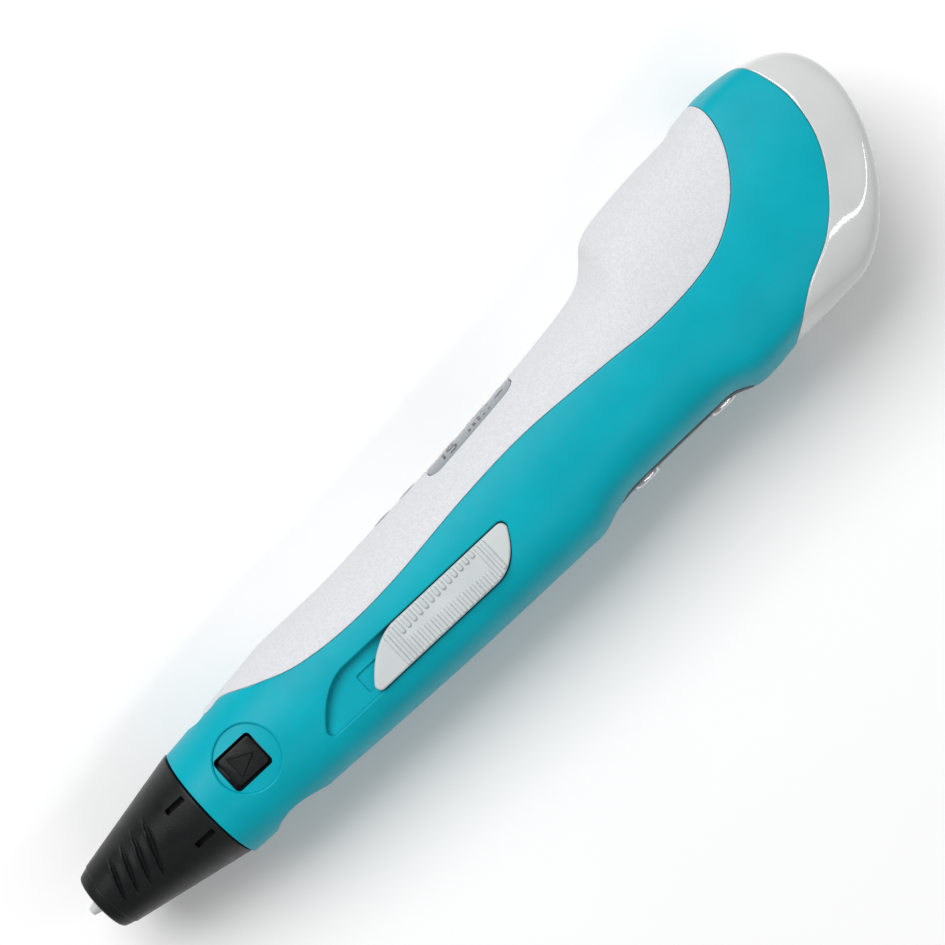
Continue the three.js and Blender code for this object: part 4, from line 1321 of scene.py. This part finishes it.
MOULDED = {  # dark and light colour, roughness, the grain's size and depth in mm, and constants
    "teal_plastic": (
        (0.0, 0.33, 0.41), (0.0, 0.37, 0.455), (0.36, 0.44), 0.16, 0.004, {"Specular_IOR_Level": 0.12}),
    "gloss_plastic": (
        (0.56, 0.58, 0.57), (0.61, 0.63, 0.615), (0.05, 0.09), 1.6, 0.0015,
        {"Coat_Weight": 0.6, "Coat_Roughness": 0.03}),
    "slider_plastic": (
        (0.51, 0.545, 0.55), (0.57, 0.605, 0.605), (0.38, 0.48), 0.13, 0.006,
        {"Specular_IOR_Level": 0.3}),
    "black_plastic": (
        (0.006, 0.0065, 0.007), (0.011, 0.0115, 0.012), (0.28, 0.42), 0.22, 0.03,
        {"Specular_IOR_Level": 0.2}),
    "grey_plastic": ((0.24, 0.26, 0.27), (0.30, 0.32, 0.33), (0.35, 0.45), 0.13, 0.005, {}),
    "key_chrome": (
        (0.62, 0.64, 0.66), (0.74, 0.75, 0.77), (0.12, 0.22), 0.3, 0.001, {"Metallic": 0.9}),
    "ceramic": ((0.50, 0.52, 0.53), (0.60, 0.61, 0.61), (0.35, 0.5), 0.1, 0.008, {}),
    "ptfe": (
        (0.74, 0.74, 0.70), (0.84, 0.84, 0.81), (0.35, 0.45), 0.4, 0.004,
        {"Subsurface_Weight": 0.1, "Subsurface_Scale": 0.002}),
    "lcd_ink": ((0.015, 0.017, 0.020), (0.03, 0.033, 0.038), (0.3, 0.4), 0.2, 0.001, {}),
}
BRUSHED = {  # dark and light colour, roughness, and which way the lines are drawn out
    "steel": ((0.42, 0.43, 0.45), (0.60, 0.61, 0.63), (0.22, 0.38), (0.08, 1, 1)),
    "brass": ((0.55, 0.38, 0.14), (0.72, 0.52, 0.22), (0.25, 0.4), (1, 1, 0.1)),
}
PATTERNED = {
    "pearl_plastic": pearl_plastic, "board_green": board_green, "display_window": display_window,
}


@cache
def material_of(name):
    """The material of that name, made when it is first asked for."""
    if name in MOULDED:
        *looks, constants = MOULDED[name]
        return moulded(name, *looks, **constants)
    if name in BRUSHED:
        return brushed(name, *BRUSHED[name])
    return PATTERNED[name](name)


def finish_piece(piece, body, replaced, slot):
    """Says what a piece rides on, what it stands for and what it is made of."""
    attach(piece, body)
    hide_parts(replaced)
    piece.data.materials.clear()
    piece.data.materials.append(material_of(slot))


CAD_FINISHES = {
    "steel": ["lcd_module", "slide_pot_body", "board_screw_front", "board_screw_rear",
              "feed_screw_front", "feed_screw_rear", "motor_can", "motor_shaft", "idler_axle",
              "idler_bearing", "idler_spring"],
    "brass": ["motor_gearbox", "drive_gear"],
    "board_green": ["button_board", "main_board"],
    "grey_plastic": ["feed_frame", "power_capacitor"],
    "black_plastic": ["hot_end_connector", "slide_pot_lever", "temperature_up_switch", "load_switch",
                      "temperature_down_switch", "unload_switch", "microcontroller", "motor_driver",
                      "idler_arm"],
    "ceramic": ["thermistor"],
    "ptfe": ["guide_tube"],
}


def finish_cad_nodes():
    for material, names in CAD_FINISHES.items():
        for name in names:
            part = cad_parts[name]
            for slot in part.material_slots:
                slot.material = material_of(material)
            part.data.shade_smooth()


# Stage

VIEW_HEIGHT = 430.0  # camera above the pen's middle plane
VIEW_POINT = (95.26, 9.87)  # x and y that the camera looks straight down at
VIEW_WIDTH = 155.7  # what the frame spans at the middle plane
VIEW_TURN = -43.2  # degrees, so that the pen runs up to the right
FLOOR_REACH, FLOOR_GAP = 3.0, 0.0002  # metres
WORLD_STRENGTH = 0.33
AIM_HEIGHT = 0.015  # metres: the lights point at the pen's middle


def build_camera():
    data = bpy.data.cameras.new("camera")
    data.sensor_width = 36
    data.lens = 36 * VIEW_HEIGHT / VIEW_WIDTH
    data.clip_start, data.clip_end = 0.01, 20
    camera = bpy.data.objects.new("camera", data)
    bpy.context.collection.objects.link(camera)
    camera.location = to_frame((*VIEW_POINT, VIEW_HEIGHT))
    camera.rotation_euler = (0, 0, math.radians(VIEW_TURN))
    bpy.context.scene.camera = camera


def soft_light(name, location, size, power, target):
    data = bpy.data.lights.new(name, "AREA")
    data.shape, data.size, data.size_y = "RECTANGLE", *size
    data.energy = power
    light = bpy.data.objects.new(name, data)
    bpy.context.collection.objects.link(light)
    light.location = location
    light.rotation_euler = (Vector(target) - Vector(location)).to_track_quat("-Z", "Y").to_euler()


def build_floor():
    """A plain pale floor that the pen lies on."""
    mesh = bpy.data.meshes.new("floor")
    corners = [(-1, -1), (1, -1), (1, 1), (-1, 1)]
    mesh.from_pydata([(FLOOR_REACH * x, FLOOR_REACH * y, 0) for x, y in corners], [], [(0, 1, 2, 3)])
    floor = bpy.data.objects.new("floor", mesh)
    floor.location.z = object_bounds()[0][2] - FLOOR_GAP
    bpy.context.collection.objects.link(floor)
    material = new_material("floor", (0.92, 0.92, 0.92), 0.8)
    vary_colour(material, noise(material, 60.0), (0.91, 0.91, 0.91), (0.93, 0.93, 0.93))
    floor.data.materials.append(material)


def build_world():
    world = bpy.data.worlds.new("world")
    world.use_nodes = True
    background = world.node_tree.nodes["Background"]
    background.inputs["Color"].default_value = (1, 1, 1, 1)
    background.inputs["Strength"].default_value = WORLD_STRENGTH
    bpy.context.scene.world = world
    bpy.context.scene.view_settings.view_transform = "Standard"


build_camera()
build_housing()
build_cover()
build_cap()
build_slider()
build_nose()
build_hot_end()
build_tail_fittings()
build_display()
build_temperature_keys()
build_feed_keys()
finish_cad_nodes()
build_floor()
soft_light("key", (-0.10, 0.52, 0.80), (0.8, 0.6), 8.4, target=(0, 0, AIM_HEIGHT))
soft_light("strip", (0.3, -0.34, 0.64), (1.2, 0.024), 1.3, target=(0.3, 0, AIM_HEIGHT))
build_world()
